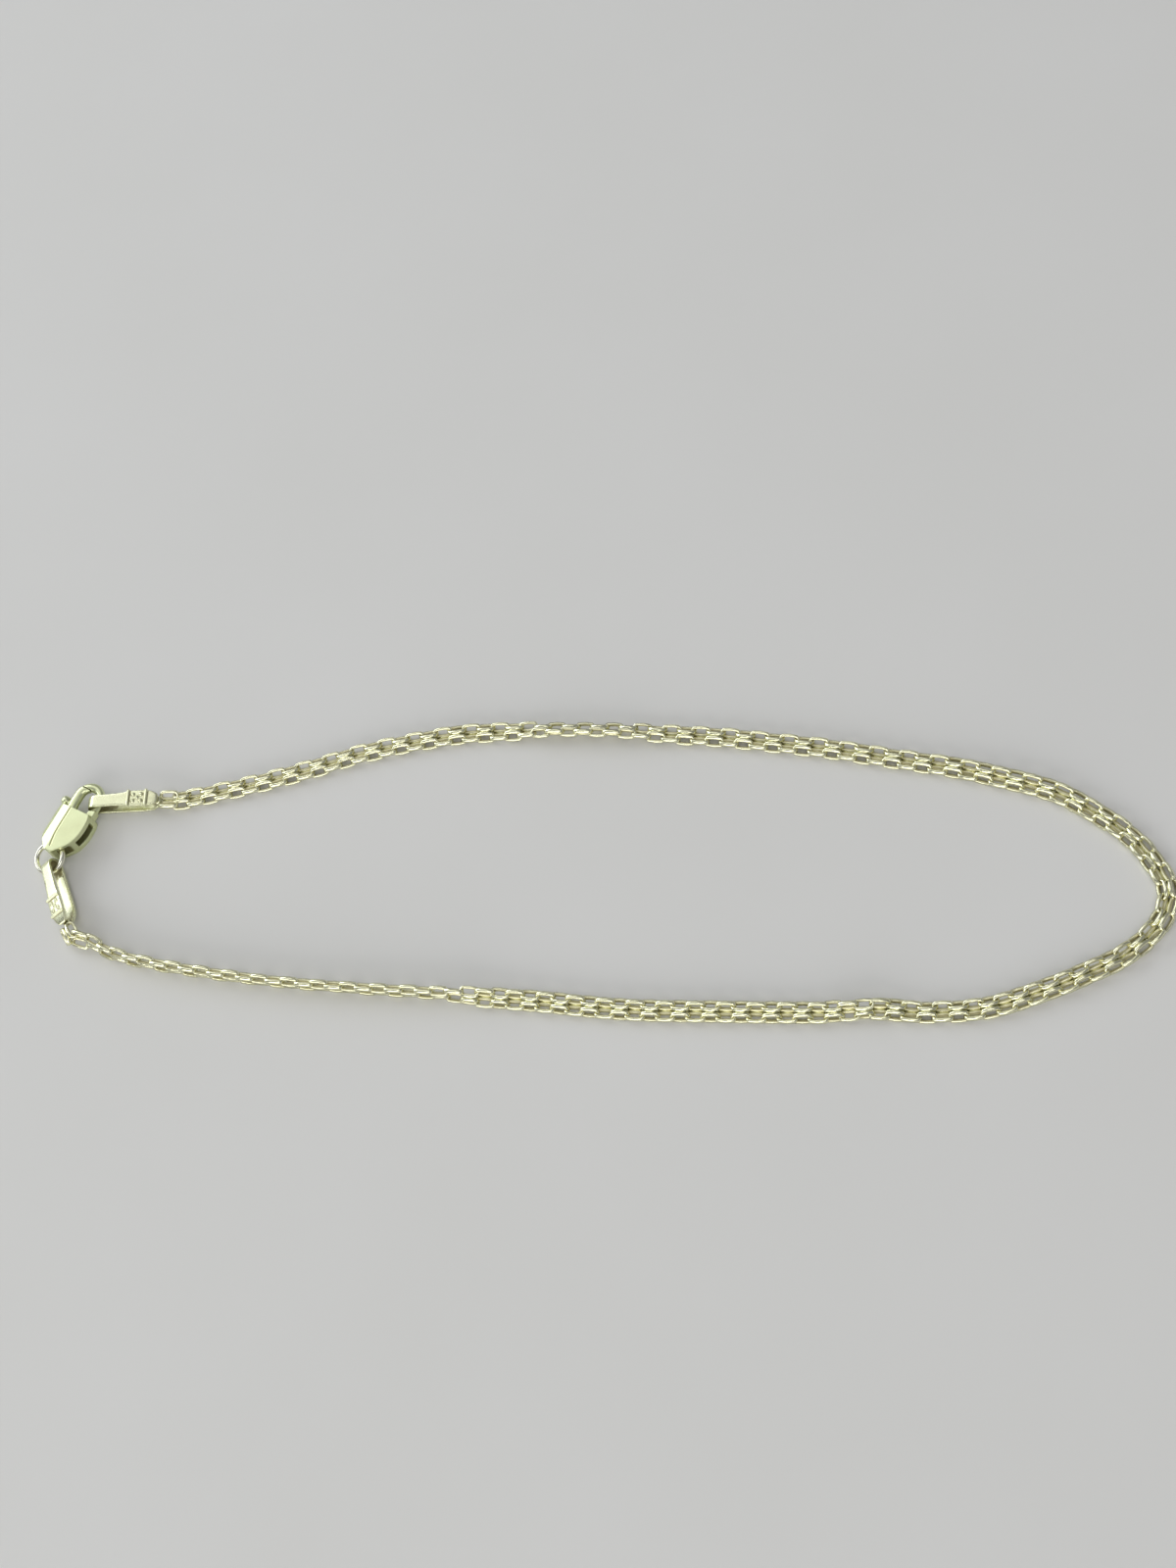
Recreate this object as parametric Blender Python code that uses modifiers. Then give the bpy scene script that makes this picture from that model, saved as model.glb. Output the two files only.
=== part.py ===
"""A gold bismarck chain bracelet, closed on its lobster clasp and lying on a table.

The loop runs: clasp, first end tag, chain, second end tag, jump ring, and back to the clasp. Every size
below is in millimetres. X runs along the loop, Y away from the viewer and Z up from the table at Z = 0.
The chain is one flattened tube along the route of its links.
"""
import math

import bmesh
import bpy
from mathutils import Vector

MM = 0.001

# How far a cutter reaches past what it cuts
CUTTER_REACH = 3.0

# Chain: two rows of oval rings, as wide and as thick as the flattened tube
CHAIN_WIDTH = 1.44
CHAIN_THICKNESS = 0.84
CHAIN_POINTS = 80

# The chain's straight lead out of a tag, and how far it sinks there
LEAD_LENGTH = 0.80
LEAD_DROP = 0.06

# Where the loop lies, so that its box is centred on the origin
LOOP_PLACE = (-0.56, 0.16)

# Clasp body
CLASP_PLACE = (-43.30, 0.33)
CLASP_TURN = 67.0
CLASP_THICKNESS = 1.90
BODY_LENGTH = 4.12
BODY_LEFT = 1.72
BODY_RIGHT = 1.80
PANEL_EDGE = 0.27
SPINE_SPREAD = 68.0
FRONT_CORNER = 0.12
TAIL_WALL = 0.31
TAIL_OVERHANG = 0.05
EYE_LENGTH = 0.90
EYE_HEIGHT = 1.10
WEB_WIDTH = 0.44
SLOT_HEIGHT = 0.84
PILLAR_LENGTH = 0.50
PILLAR_WIDTH = 0.88

# Claw: a round wire bent over into a hook
CLAW_WIRE = 0.65
CLAW_RADIUS = 1.03
CLAW_CENTRE = (5.42, -0.25)
CLAW_REACH = 62.0

# Lever, its thumb nub and the rivet that it turns on
PIVOT = (3.45, 0.55)
PIN_RADIUS = 0.17
PIN_SEAT = 0.30
PIN_CLEARANCE = 0.03
BORE_CLEARANCE = 0.04
LEVER_WIRE = 0.68
HUB_RADIUS = 0.48
HUB_HEIGHT = 0.66
HEEL_LENGTH = 1.35
HEEL_OFFSET = 0.26
HEEL_WIRE = 0.40
NUB_RADIUS = 0.34
NUB_OFFSET = (1.08, 0.71)
LEVER_CLEARANCE = 0.10
TIP_GAP = 0.09
TIP_CUT = 6.16
TIP_CUT_RISE = 0.20

# Jump ring
RING_RADIUS = 1.22
RING_WIRE = 0.40
RING_CLEARANCE = 0.11
RING_LEAN = (-0.1313, -0.1524, 0.9796)
RING_HEIGHT = 0.967
RING_SIDE = -0.024

# End tags: a strip folded round the claw or the ring, its two leaves ending on the chain
STRIP_THICKNESS = 0.25
STRIP_WIDTH = 1.05
FOLD_BORE = 1.00
LEAF_LENGTH = 5.40
BAR_WIDTH = 0.22
BAR_RELIEF = 0.07
BAR_OVERLAP = 0.10
CHAIN_GAP = 0.10
CLAW_TAG_TURN = 4.0
CLAW_TAG_HEIGHT = 0.90
CLAW_TAG_SLACK = 0.15
RING_TAG_POSE = (26.4, -1.5, -63.6)
RING_TAG_DIRECTION = -67.1
RING_TAG_SLACK = 0.165
RING_TAG_DROP = 0.030

# Each leaf as shares: how far along it, its spread against the fold's, its width against the strip's
UPPER_LEAF = (
    (0.15, 1.04, 1.00),
    (0.32, 1.09, 1.02),
    (0.46, 1.12, 1.10),
    (0.54, 1.13, 1.28),
    (0.68, 1.13, 1.30),
    (0.82, 1.06, 1.30),
    (0.90, 0.94, 1.16),
    (0.96, 0.80, 0.92),
    (1.00, 0.66, 0.60),
)
LOWER_LEAF = (
    (0.15, 1.05, 1.00),
    (0.32, 1.12, 1.00),
    (0.50, 1.18, 1.00),
    (0.68, 1.20, 1.02),
    (0.80, 1.12, 1.02),
    (0.88, 0.94, 0.98),
    (0.94, 0.66, 0.88),
    (0.98, 0.46, 0.74),
)
BAR_SHARES = (0.55, 0.83)

# The lever's arm from the crown back to the rivet, as shares of the way from the rivet to the crown
LEVER_BEND = ((0.62, 1.02), (0.34, 0.72), (0.00, 0.00))

# The body's outline as shares of its length and of its reach to the left and to the right
OUTLINE_LEFT = (
    (0.00, 0.18),
    (0.03, 0.30),
    (0.08, 0.42),
    (0.18, 0.66),
    (0.36, 0.92),
    (0.58, 1.00),
    (0.80, 0.95),
    (0.95, 0.83),
)
OUTLINE_RIGHT = (
    (0.97, 0.91),
    (0.84, 0.99),
    (0.60, 1.00),
    (0.36, 0.86),
    (0.20, 0.60),
    (0.10, 0.38),
    (0.04, 0.25),
    (0.00, 0.12),
)

# The chain's route from the first tag to the second: X, Y, height over its rest, and roll in degrees
CHAIN_ROUTE = (
    (-33.4, 5.35, 0.10, 0.0),
    (-31.3, 5.8, 0.0, 0.0),
    (-26.8, 6.9, 0.0, 0.0),
    (-22.3, 8.2, 0.0, 0.0),
    (-18.4, 9.5, 0.0, 0.0),
    (-13.8, 10.6, 0.0, 0.0),
    (-9.4, 11.3, 0.0, 5.0),
    (-4.9, 11.5, 0.0, 15.0),
    (-2.0, 11.5, 0.0, 60.0),
    (3.0, 11.4, 0.0, 60.0),
    (6.6, 11.2, 0.0, 12.0),
    (11.3, 10.9, 0.0, 0.0),
    (14.9, 10.5, 0.0, 0.0),
    (19.7, 9.9, 0.0, 0.0),
    (24.5, 9.1, 0.0, 0.0),
    (29.2, 8.3, 0.0, 8.0),
    (32.9, 7.4, 0.0, 20.0),
    (37.0, 6.2, 0.0, 20.0),
    (39.9, 4.6, 0.0, 12.0),
    (42.4, 2.8, 0.0, 0.0),
    (44.3, 0.5, 0.0, 0.0),
    (45.3, -1.8, 0.0, 0.0),
    (44.6, -4.3, 0.0, 0.0),
    (42.4, -6.6, 0.0, -8.0),
    (39.4, -8.3, 0.0, -20.0),
    (36.3, -9.7, 0.0, -20.0),
    (32.5, -11.0, 0.0, -12.0),
    (28.2, -11.4, 0.0, 0.0),
    (25.2, -11.3, 0.0, -20.0),
    (23.4, -11.2, 0.0, -60.0),
    (21.6, -11.5, 0.0, -30.0),
    (20.0, -11.7, 0.0, -22.0),
    (13.1, -11.8, 0.0, -24.0),
    (5.8, -11.8, 0.0, -24.0),
    (-1.4, -11.3, 0.0, -26.0),
    (-6.0, -11.1, 0.0, -45.0),
    (-8.7, -10.9, 0.0, -78.0),
    (-16.2, -10.6, 0.0, -84.0),
    (-23.7, -10.1, 0.0, -84.0),
    (-31.2, -9.2, 0.0, -84.0),
    (-35.9, -8.3, 0.0, -80.0),
    (-38.3, -7.3, 0.10, -66.0),
)

CHAIN_GOLD = (0.72, 0.66, 0.38, 1.0)
FITTING_GOLD = (0.80, 0.76, 0.52, 1.0)
PIN_GOLD = (0.66, 0.60, 0.36, 1.0)


def clear_scene():
    """Removes whatever objects the scene holds."""
    for item in list(bpy.data.objects):
        bpy.data.objects.remove(item, do_unlink=True)


def new_collection(name):
    """Makes a collection of the scene."""
    collection = bpy.data.collections.new(name)
    bpy.context.scene.collection.children.link(collection)
    return collection


def gold(name, colour, roughness):
    """A plain metal material of one colour."""
    material = bpy.data.materials.new(name)
    material.use_nodes = True
    shader = material.node_tree.nodes["Principled BSDF"]
    shader.inputs["Base Color"].default_value = colour
    shader.inputs["Metallic"].default_value = 1.0
    shader.inputs["Roughness"].default_value = roughness
    return material


def add_empty(name, place, turn, parent, collection):
    """An empty that carries other objects, placed in millimetres and turned in degrees."""
    frame = bpy.data.objects.new(name, None)
    frame.location = Vector(place) * MM
    frame.rotation_euler = [math.radians(angle) for angle in turn]
    frame.parent = parent
    collection.objects.link(frame)
    return frame


def add_object(name, data, parent, collection, material=None):
    """Links a mesh or curve as an object under its parent."""
    item = bpy.data.objects.new(name, data)
    item.parent = parent
    collection.objects.link(item)
    if material is not None:
        item.data.materials.append(material)
    return item


def mesh_from(bm, name):
    """Turns a bmesh in millimetres into a mesh in metres, with its faces pointing out."""
    bmesh.ops.recalc_face_normals(bm, faces=bm.faces)
    bmesh.ops.scale(bm, vec=(MM, MM, MM), verts=bm.verts)
    mesh = bpy.data.meshes.new(name)
    bm.to_mesh(mesh)
    bm.free()
    return mesh


def smooth_through(points, steps):
    """A Catmull-Rom curve through rows of numbers, with the same number of steps in each stretch."""
    rows = [tuple(p) for p in points]
    ends = [tuple(2 * a - b for a, b in zip(rows[0], rows[1]))]
    ends += rows
    ends += [tuple(2 * a - b for a, b in zip(rows[-1], rows[-2]))]
    curve = []
    for i in range(1, len(ends) - 2):
        before, start, stop, after = ends[i - 1], ends[i], ends[i + 1], ends[i + 2]
        for k in range(steps):
            t = k / steps
            curve.append(tuple(
                0.5 * (2 * b + (c - a) * t + (2 * a - 5 * b + 4 * c - d) * t * t
                       + (3 * b - a - 3 * c + d) * t * t * t)
                for a, b, c, d in zip(before, start, stop, after)))
    curve.append(rows[-1])
    return curve


def spaced(points, count):
    """Reads a fine curve at evenly spaced lengths along its first three columns."""
    lengths = [0.0]
    for a, b in zip(points, points[1:]):
        lengths.append(lengths[-1] + math.dist(a[:3], b[:3]))
    result = []
    k = 0
    for i in range(count):
        goal = lengths[-1] * i / (count - 1)
        while k < len(points) - 2 and lengths[k + 1] < goal:
            k += 1
        share = (goal - lengths[k]) / (lengths[k + 1] - lengths[k])
        result.append(tuple(a + (b - a) * share for a, b in zip(points[k], points[k + 1])))
    return result


def prism(name, outline, axis, low, high, parent, collection, material=None):
    """A flat outline extruded along one axis, from low to high."""
    bm = bmesh.new()
    place = {"X": lambda p: (low, p[0], p[1]), "Z": lambda p: (p[0], p[1], low)}[axis]
    travel = {"X": (high - low, 0, 0), "Z": (0, 0, high - low)}[axis]
    corners = [bm.verts.new(place(p)) for p in outline]
    face = bm.faces.new(corners)
    sides = bmesh.ops.extrude_face_region(bm, geom=[face])
    moved = [v for v in sides["geom"] if isinstance(v, bmesh.types.BMVert)]
    bmesh.ops.translate(bm, vec=travel, verts=moved)
    return add_object(name, mesh_from(bm, name), parent, collection, material)


def box(name, low, high, parent, collection):
    """A box between two corners."""
    bm = bmesh.new()
    bmesh.ops.create_cube(bm, size=1.0)
    size = [b - a for a, b in zip(low, high)]
    centre = [(a + b) / 2 for a, b in zip(low, high)]
    bmesh.ops.scale(bm, vec=size, verts=bm.verts)
    bmesh.ops.translate(bm, vec=centre, verts=bm.verts)
    return add_object(name, mesh_from(bm, name), parent, collection)


def rod(name, radius, low, high, place, parent, collection, material=None, segments=24):
    """An upright cylinder from low to high."""
    bm = bmesh.new()
    bmesh.ops.create_cone(bm, cap_ends=True, segments=segments, radius1=radius, radius2=radius,
                          depth=high - low)
    bmesh.ops.translate(bm, vec=(place[0], place[1], (low + high) / 2), verts=bm.verts)
    return add_object(name, mesh_from(bm, name), parent, collection, material)


def ball(name, radius, place, parent, collection):
    """A sphere."""
    bm = bmesh.new()
    bmesh.ops.create_uvsphere(bm, u_segments=18, v_segments=10, radius=radius)
    bmesh.ops.translate(bm, vec=place, verts=bm.verts)
    return add_object(name, mesh_from(bm, name), parent, collection)


def wire(name, points, radius, parent, collection, extrude=0.0, tilts=None):
    """A capped tube along points, as a POLY curve."""
    data = bpy.data.curves.new(name, "CURVE")
    data.dimensions = "3D"
    data.twist_mode = "Z_UP"
    data.bevel_depth = radius * MM
    data.bevel_resolution = 2
    data.extrude = extrude * MM
    data.use_fill_caps = True
    spline = data.splines.new("POLY")
    spline.points.add(len(points) - 1)
    for i, point in enumerate(points):
        spline.points[i].co = (point[0] * MM, point[1] * MM, point[2] * MM, 1.0)
        if tilts is not None:
            spline.points[i].tilt = tilts[i]
    return add_object(name, data, parent, collection)


def as_mesh(item, material=None):
    """Replaces a curve object by its welded mesh, so that it can be cut and joined."""
    bpy.context.view_layer.update()
    evaluated = item.evaluated_get(bpy.context.evaluated_depsgraph_get())
    mesh = bpy.data.meshes.new_from_object(evaluated)
    bm = bmesh.new()
    bm.from_mesh(mesh)
    bmesh.ops.remove_doubles(bm, verts=bm.verts, dist=0.001 * MM)
    bmesh.ops.recalc_face_normals(bm, faces=bm.faces)
    bm.to_mesh(mesh)
    bm.free()
    name = item.name
    parent = item.parent
    collection = item.users_collection[0]
    bpy.data.objects.remove(item, do_unlink=True)
    mesh.name = name
    return add_object(name, mesh, parent, collection, material)


def combine(item, other, operation):
    """Cuts, joins or intersects a mesh with another by a Boolean modifier."""
    other.hide_render = True
    other.display_type = "WIRE"
    modifier = item.modifiers.new(other.name, "BOOLEAN")
    modifier.operation = operation
    modifier.solver = "EXACT"
    modifier.object = other


def finish_edges(item, angle):
    """Shades a mesh smooth, with the edges over an angle kept sharp."""
    item.data.shade_smooth()
    item.data.set_sharp_from_angle(angle=math.radians(angle))


def claw_points(start_angle, stop_angle, steps):
    """Points on the claw's round crown, with angle 0 straight ahead and the claw's root at -90."""
    points = []
    for i in range(steps + 1):
        angle = math.radians(start_angle + (stop_angle - start_angle) * i / steps)
        points.append((CLAW_CENTRE[0] + CLAW_RADIUS * math.cos(angle),
                       CLAW_CENTRE[1] + CLAW_RADIUS * math.sin(angle),
                       CLASP_THICKNESS / 2))
    return points


def build_clasp_body(frame, parts, cutters, material):
    """The body: two cheeks round a slot, an eye through the tail and the claw in front."""
    middle = CLASP_THICKNESS / 2
    left = [(u * BODY_LENGTH, v * BODY_LEFT) for u, v in OUTLINE_LEFT]
    right = [(u * BODY_LENGTH, -v * BODY_RIGHT) for u, v in OUTLINE_RIGHT]
    front = [(BODY_LENGTH, left[-1][1] - FRONT_CORNER), (BODY_LENGTH, right[0][1] + FRONT_CORNER)]
    outline = smooth_through(left, 3) + front + smooth_through(right, 3)
    outline = [(u - TAIL_OVERHANG, v) for u, v in outline]
    body = prism("clasp_body", outline, "Z", 0.0, CLASP_THICKNESS, frame, parts, material)

    # A bar with flat cheeks and a rounded spine, which shapes the body across its width
    shoulder = BODY_LEFT - PANEL_EDGE
    spread = math.radians(SPINE_SPREAD)
    arc = []
    for i in range(1, 8):
        angle = spread * (1 - i / 4)
        arc.append((PANEL_EDGE + shoulder * math.cos(angle) * 1.02,
                    middle + middle * math.sin(angle) / math.sin(spread)))
    reach = BODY_RIGHT + CUTTER_REACH
    section = [(-reach, CLASP_THICKNESS), (PANEL_EDGE, CLASP_THICKNESS)] + arc
    section += [(PANEL_EDGE, 0.0), (-reach, 0.0)]
    bar = prism("spine_bar", section, "X", -CUTTER_REACH, BODY_LENGTH + CUTTER_REACH, frame, cutters)
    combine(body, bar, "INTERSECT")

    slot_low = middle - SLOT_HEIGHT / 2
    slot_high = middle + SLOT_HEIGHT / 2
    eye_start = TAIL_WALL - TAIL_OVERHANG
    eye_stop = eye_start + EYE_LENGTH
    wall = PIVOT[1] + HUB_RADIUS + LEVER_CLEARANCE
    front_u = BODY_LENGTH - TAIL_OVERHANG
    eye = box("eye_cut", (eye_start, -CUTTER_REACH, middle - EYE_HEIGHT / 2),
              (eye_stop, CUTTER_REACH, middle + EYE_HEIGHT / 2), frame, cutters)
    combine(body, eye, "DIFFERENCE")
    slot = box("slot_cut", (eye_stop + WEB_WIDTH, -CUTTER_REACH, slot_low),
               (front_u - PILLAR_LENGTH, wall, slot_high), frame, cutters)
    combine(body, slot, "DIFFERENCE")
    mouth = box("mouth_cut", (PIVOT[0] - HUB_RADIUS, -BODY_RIGHT + PILLAR_WIDTH, slot_low),
                (front_u + CUTTER_REACH, wall, slot_high), frame, cutters)
    combine(body, mouth, "DIFFERENCE")
    seat = rod("pin_cut", PIN_RADIUS + PIN_CLEARANCE, slot_low - PIN_SEAT, slot_high + PIN_SEAT,
               PIVOT, frame, cutters)
    combine(body, seat, "DIFFERENCE")

    root = (front_u - PILLAR_LENGTH * 0.8, CLAW_CENTRE[1] - CLAW_RADIUS, middle)
    claw = as_mesh(wire("claw_wire", [root] + claw_points(-90.0, CLAW_REACH, 14), CLAW_WIRE / 2,
                        frame, cutters))
    tip = box("claw_tip_cut", (CLAW_CENTRE[0] - CLAW_WIRE, CLAW_CENTRE[1] + TIP_CUT_RISE, 0),
              (TIP_CUT, CLAW_CENTRE[1] + CLAW_RADIUS + CLAW_WIRE, CLASP_THICKNESS), frame, cutters)
    combine(claw, tip, "DIFFERENCE")
    combine(body, claw, "UNION")
    finish_edges(body, 32)


def build_pin(frame, parts, material):
    """The rivet, seated blind in both cheeks."""
    middle = CLASP_THICKNESS / 2
    half = SLOT_HEIGHT / 2 + PIN_SEAT - PIN_CLEARANCE
    pin = rod("clasp_pin", PIN_RADIUS, -half, half, (0, 0), frame, parts, material)
    pin.location = Vector((PIVOT[0], PIVOT[1], middle)) * MM
    finish_edges(pin, 40)


def build_lever(frame, parts, cutters, material):
    """The lever, with its origin on the rivet's axis: hub, arm, heel and thumb nub."""
    middle = CLASP_THICKNESS / 2
    hinge = add_empty("lever_hinge", (PIVOT[0], PIVOT[1], middle), (0, 0, 0), frame, parts)

    def local(point):
        return (point[0] - PIVOT[0], point[1] - PIVOT[1], point[2] - middle)

    crown = [local(p) for p in claw_points(24.0, 90.0, 7)]
    top = crown[-1]
    bend = [top] + [(top[0] * u, top[1] * v, 0.0) for u, v in LEVER_BEND]
    curve = crown[:-1] + smooth_through(bend, 3)
    arm = as_mesh(wire("arm_wire", curve, LEVER_WIRE / 2, hinge, cutters))
    lever = rod("clasp_lever", HUB_RADIUS, -HUB_HEIGHT / 2, HUB_HEIGHT / 2, (0, 0), hinge, parts,
                material)
    heel = [(0.0, 0.0, 0.0), (-HEEL_LENGTH, -HEEL_OFFSET, 0.0)]
    tail = as_mesh(wire("heel_wire", heel, HEEL_WIRE / 2, hinge, cutters))
    tip_start = TIP_CUT - TIP_GAP - PIVOT[0]
    tip = box("lever_tip_cut", (tip_start, -CUTTER_REACH, -CUTTER_REACH),
              (tip_start + CUTTER_REACH, CUTTER_REACH, CUTTER_REACH), hinge, cutters)
    combine(arm, tip, "DIFFERENCE")
    combine(lever, arm, "UNION")
    combine(lever, tail, "UNION")
    nub = ball("nub_ball", NUB_RADIUS, (NUB_OFFSET[0], NUB_OFFSET[1], 0.0), hinge, cutters)
    combine(lever, nub, "UNION")
    bore = rod("lever_bore", PIN_RADIUS + BORE_CLEARANCE, -HUB_HEIGHT, HUB_HEIGHT, (0, 0), hinge, cutters)
    combine(lever, bore, "DIFFERENCE")
    finish_edges(lever, 40)


def build_ring(frame, parts, material):
    """The soldered jump ring, through the clasp's eye and the second tag's fold."""
    eye_stop = TAIL_WALL - TAIL_OVERHANG + EYE_LENGTH
    place = (eye_stop - RING_CLEARANCE - RING_WIRE / 2 - RING_RADIUS, RING_SIDE, RING_HEIGHT)
    centre = clasp_point(place)
    bpy.ops.mesh.primitive_torus_add(major_radius=RING_RADIUS * MM, minor_radius=RING_WIRE / 2 * MM,
                                     major_segments=48, minor_segments=12)
    ring = bpy.context.object
    ring.name = "jump_ring"
    ring.data.name = "jump_ring"
    for collection in list(ring.users_collection):
        collection.objects.unlink(ring)
    parts.objects.link(ring)
    ring.parent = frame
    ring.location = centre * MM
    ring.rotation_euler = Vector(RING_LEAN).to_track_quat("Z", "Y").to_euler()
    ring.data.materials.append(material)
    finish_edges(ring, 60)
    return centre


def clasp_point(place):
    """A point given in the clasp's own axes, as a point of the whole bracelet."""
    angle = math.radians(CLASP_TURN)
    u, v, w = place
    return Vector((CLASP_PLACE[0] + u * math.cos(angle) - v * math.sin(angle),
                   CLASP_PLACE[1] + u * math.sin(angle) + v * math.cos(angle), w))


def strip_stations():
    """The folded strip's middle line as X, Z and half width, from the upper leaf's end to the lower's."""
    spread = (FOLD_BORE + STRIP_THICKNESS) / 2
    upper = [(x * LEAF_LENGTH, z * spread, w * STRIP_WIDTH / 2) for x, z, w in UPPER_LEAF]
    lower = [(x * LEAF_LENGTH, -z * spread, w * STRIP_WIDTH / 2) for x, z, w in LOWER_LEAF]
    fold = []
    for i in range(13):
        angle = math.radians(90.0 + 15.0 * i)
        fold.append((spread * math.cos(angle), spread * math.sin(angle), STRIP_WIDTH / 2))
    return list(reversed(upper)) + fold + lower


def build_tag(name, place, turn, parts, cutters, root, material):
    """An end tag: a strip folded back on itself, with two raised bars across its upper leaf."""
    frame = add_empty(name + "_frame", place, turn, root, parts)
    stations = strip_stations()
    bm = bmesh.new()
    bmesh.ops.create_grid(bm, x_segments=len(stations) - 1, y_segments=1, size=1.0)
    for vertex in bm.verts:
        column = round((vertex.co.x + 1) / 2 * (len(stations) - 1))
        x, z, half = stations[column]
        vertex.co = (x, half if vertex.co.y > 0 else -half, z)
    tag = add_object(name, mesh_from(bm, name), frame, parts, material)
    shell = tag.modifiers.new("thickness", "SOLIDIFY")
    shell.thickness = STRIP_THICKNESS * MM
    shell.offset = 0.0
    shell.use_even_offset = True

    spread = (FOLD_BORE + STRIP_THICKNESS) / 2
    for i, share in enumerate(BAR_SHARES):
        x = share * LEAF_LENGTH
        z = spread * interpolate(UPPER_LEAF, share, 1)
        half = STRIP_WIDTH / 2 * interpolate(UPPER_LEAF, share, 2)
        top = z + STRIP_THICKNESS / 2 + BAR_RELIEF
        bar = box(f"{name}_bar_{i}", (x - BAR_WIDTH / 2, -half - BAR_RELIEF, z - STRIP_THICKNESS / 2 + BAR_OVERLAP),
                  (x + BAR_WIDTH / 2, half + BAR_RELIEF, top), frame, cutters)
        combine(tag, bar, "UNION")
    finish_edges(tag, 35)
    return frame


def interpolate(table, share, column):
    """Reads one column of a leaf's table at a share of its length."""
    for a, b in zip(table, table[1:]):
        if a[0] <= share <= b[0]:
            return a[column] + (b[column] - a[column]) * (share - a[0]) / (b[0] - a[0])
    return table[-1][column]


def rest_height(roll):
    """The height of the chain's middle when it lies on the table with a given roll."""
    flat = (CHAIN_WIDTH - CHAIN_THICKNESS) / 2
    return flat * abs(math.sin(math.radians(roll))) + CHAIN_THICKNESS / 2


def tag_end(place, turn):
    """Where the chain meets a tag: just past its leaves, in the middle."""
    reach = LEAF_LENGTH + CHAIN_GAP + STRIP_THICKNESS / 2
    tilt = math.radians(turn[1])
    heading = math.radians(turn[2])
    along = Vector((math.cos(tilt) * math.cos(heading), math.cos(tilt) * math.sin(heading),
                    -math.sin(tilt)))
    return Vector(place) + along * reach, along


def build_chain(first, last, first_roll, last_roll, root, parts, material):
    """The chain as one flattened tube from the first tag's end to the second's."""
    (start, start_along), (stop, stop_along) = first, last
    rows = [(start.x, start.y, start.z, first_roll)]
    lead = start + start_along * LEAD_LENGTH
    rows.append((lead.x, lead.y, lead.z - LEAD_DROP, first_roll))
    rows += [(x, y, rest_height(roll) + lift, roll) for x, y, lift, roll in CHAIN_ROUTE]
    lead = stop + stop_along * LEAD_LENGTH
    rows.append((lead.x, lead.y, lead.z - LEAD_DROP, last_roll))
    rows.append((stop.x, stop.y, stop.z, last_roll))
    points = spaced(smooth_through(rows, 12)[12:-12], CHAIN_POINTS - 2)
    points = rows[:1] + [(x, y, max(z, rest_height(roll)), roll) for x, y, z, roll in points] + rows[-1:]
    tube = wire("chain", [p[:3] for p in points], CHAIN_THICKNESS / 2, root, parts,
                extrude=(CHAIN_WIDTH - CHAIN_THICKNESS) / 2,
                tilts=[math.radians(90.0 + p[3]) for p in points])
    tube.data.materials.append(material)


def build_bracelet():
    """Builds every piece of the bracelet."""
    clear_scene()
    parts = new_collection("bracelet")
    cutters = new_collection("bracelet_cutters")
    chain_gold = gold("chain_gold", CHAIN_GOLD, 0.26)
    tag_gold = gold("tag_gold", FITTING_GOLD, 0.24)
    ring_gold = gold("ring_gold", FITTING_GOLD, 0.20)
    clasp_gold = gold("clasp_gold", FITTING_GOLD, 0.22)
    pin_gold = gold("pin_gold", PIN_GOLD, 0.30)

    root = add_empty("bracelet_root", (LOOP_PLACE[0], LOOP_PLACE[1], 0), (0, 0, 0), None, parts)
    frame = add_empty("clasp_frame", (CLASP_PLACE[0], CLASP_PLACE[1], 0), (0, 0, CLASP_TURN), root,
                      parts)
    build_clasp_body(frame, parts, cutters, clasp_gold)
    build_lever(frame, parts, cutters, clasp_gold)
    build_pin(frame, parts, pin_gold)
    ring_centre = build_ring(root, parts, ring_gold)

    claw_turn = (0.0, 0.0, CLAW_TAG_TURN)
    heading = math.radians(CLAW_TAG_TURN)
    held = clasp_point((CLAW_CENTRE[0], CLAW_CENTRE[1] - CLAW_RADIUS, CLAW_TAG_HEIGHT))
    claw_place = held - Vector((math.cos(heading), math.sin(heading), 0)) * CLAW_TAG_SLACK
    build_tag("end_tag_clasp", claw_place, claw_turn, parts, cutters, root, tag_gold)

    direction = math.radians(RING_TAG_DIRECTION)
    reach = RING_RADIUS - RING_TAG_SLACK
    ring_place = ring_centre + Vector((reach * math.cos(direction), reach * math.sin(direction),
                                       -RING_TAG_DROP))
    build_tag("end_tag_ring", ring_place, RING_TAG_POSE, parts, cutters, root, tag_gold)

    build_chain(tag_end(claw_place, claw_turn), tag_end(ring_place, RING_TAG_POSE), 0.0,
                -RING_TAG_POSE[0], root, parts, chain_gold)
    bpy.context.view_layer.update()


build_bracelet()
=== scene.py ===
"""The looks of a light gold bismarck chain bracelet, closed on its lobster clasp, on a pale table.

Sizes are in millimetres in the frame of the CAD model: X runs along the loop, Y away from the viewer and
Z up from the table. Each sub-assembly is a class that builds its meshes and dresses them.
"""

import logging
import math
import random
from dataclasses import dataclass
from enum import Enum
from typing import Callable, Sequence

import bmesh
import bpy
from mathutils import Euler, Matrix, Vector
from mathutils.bvhtree import BVHTree


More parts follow.
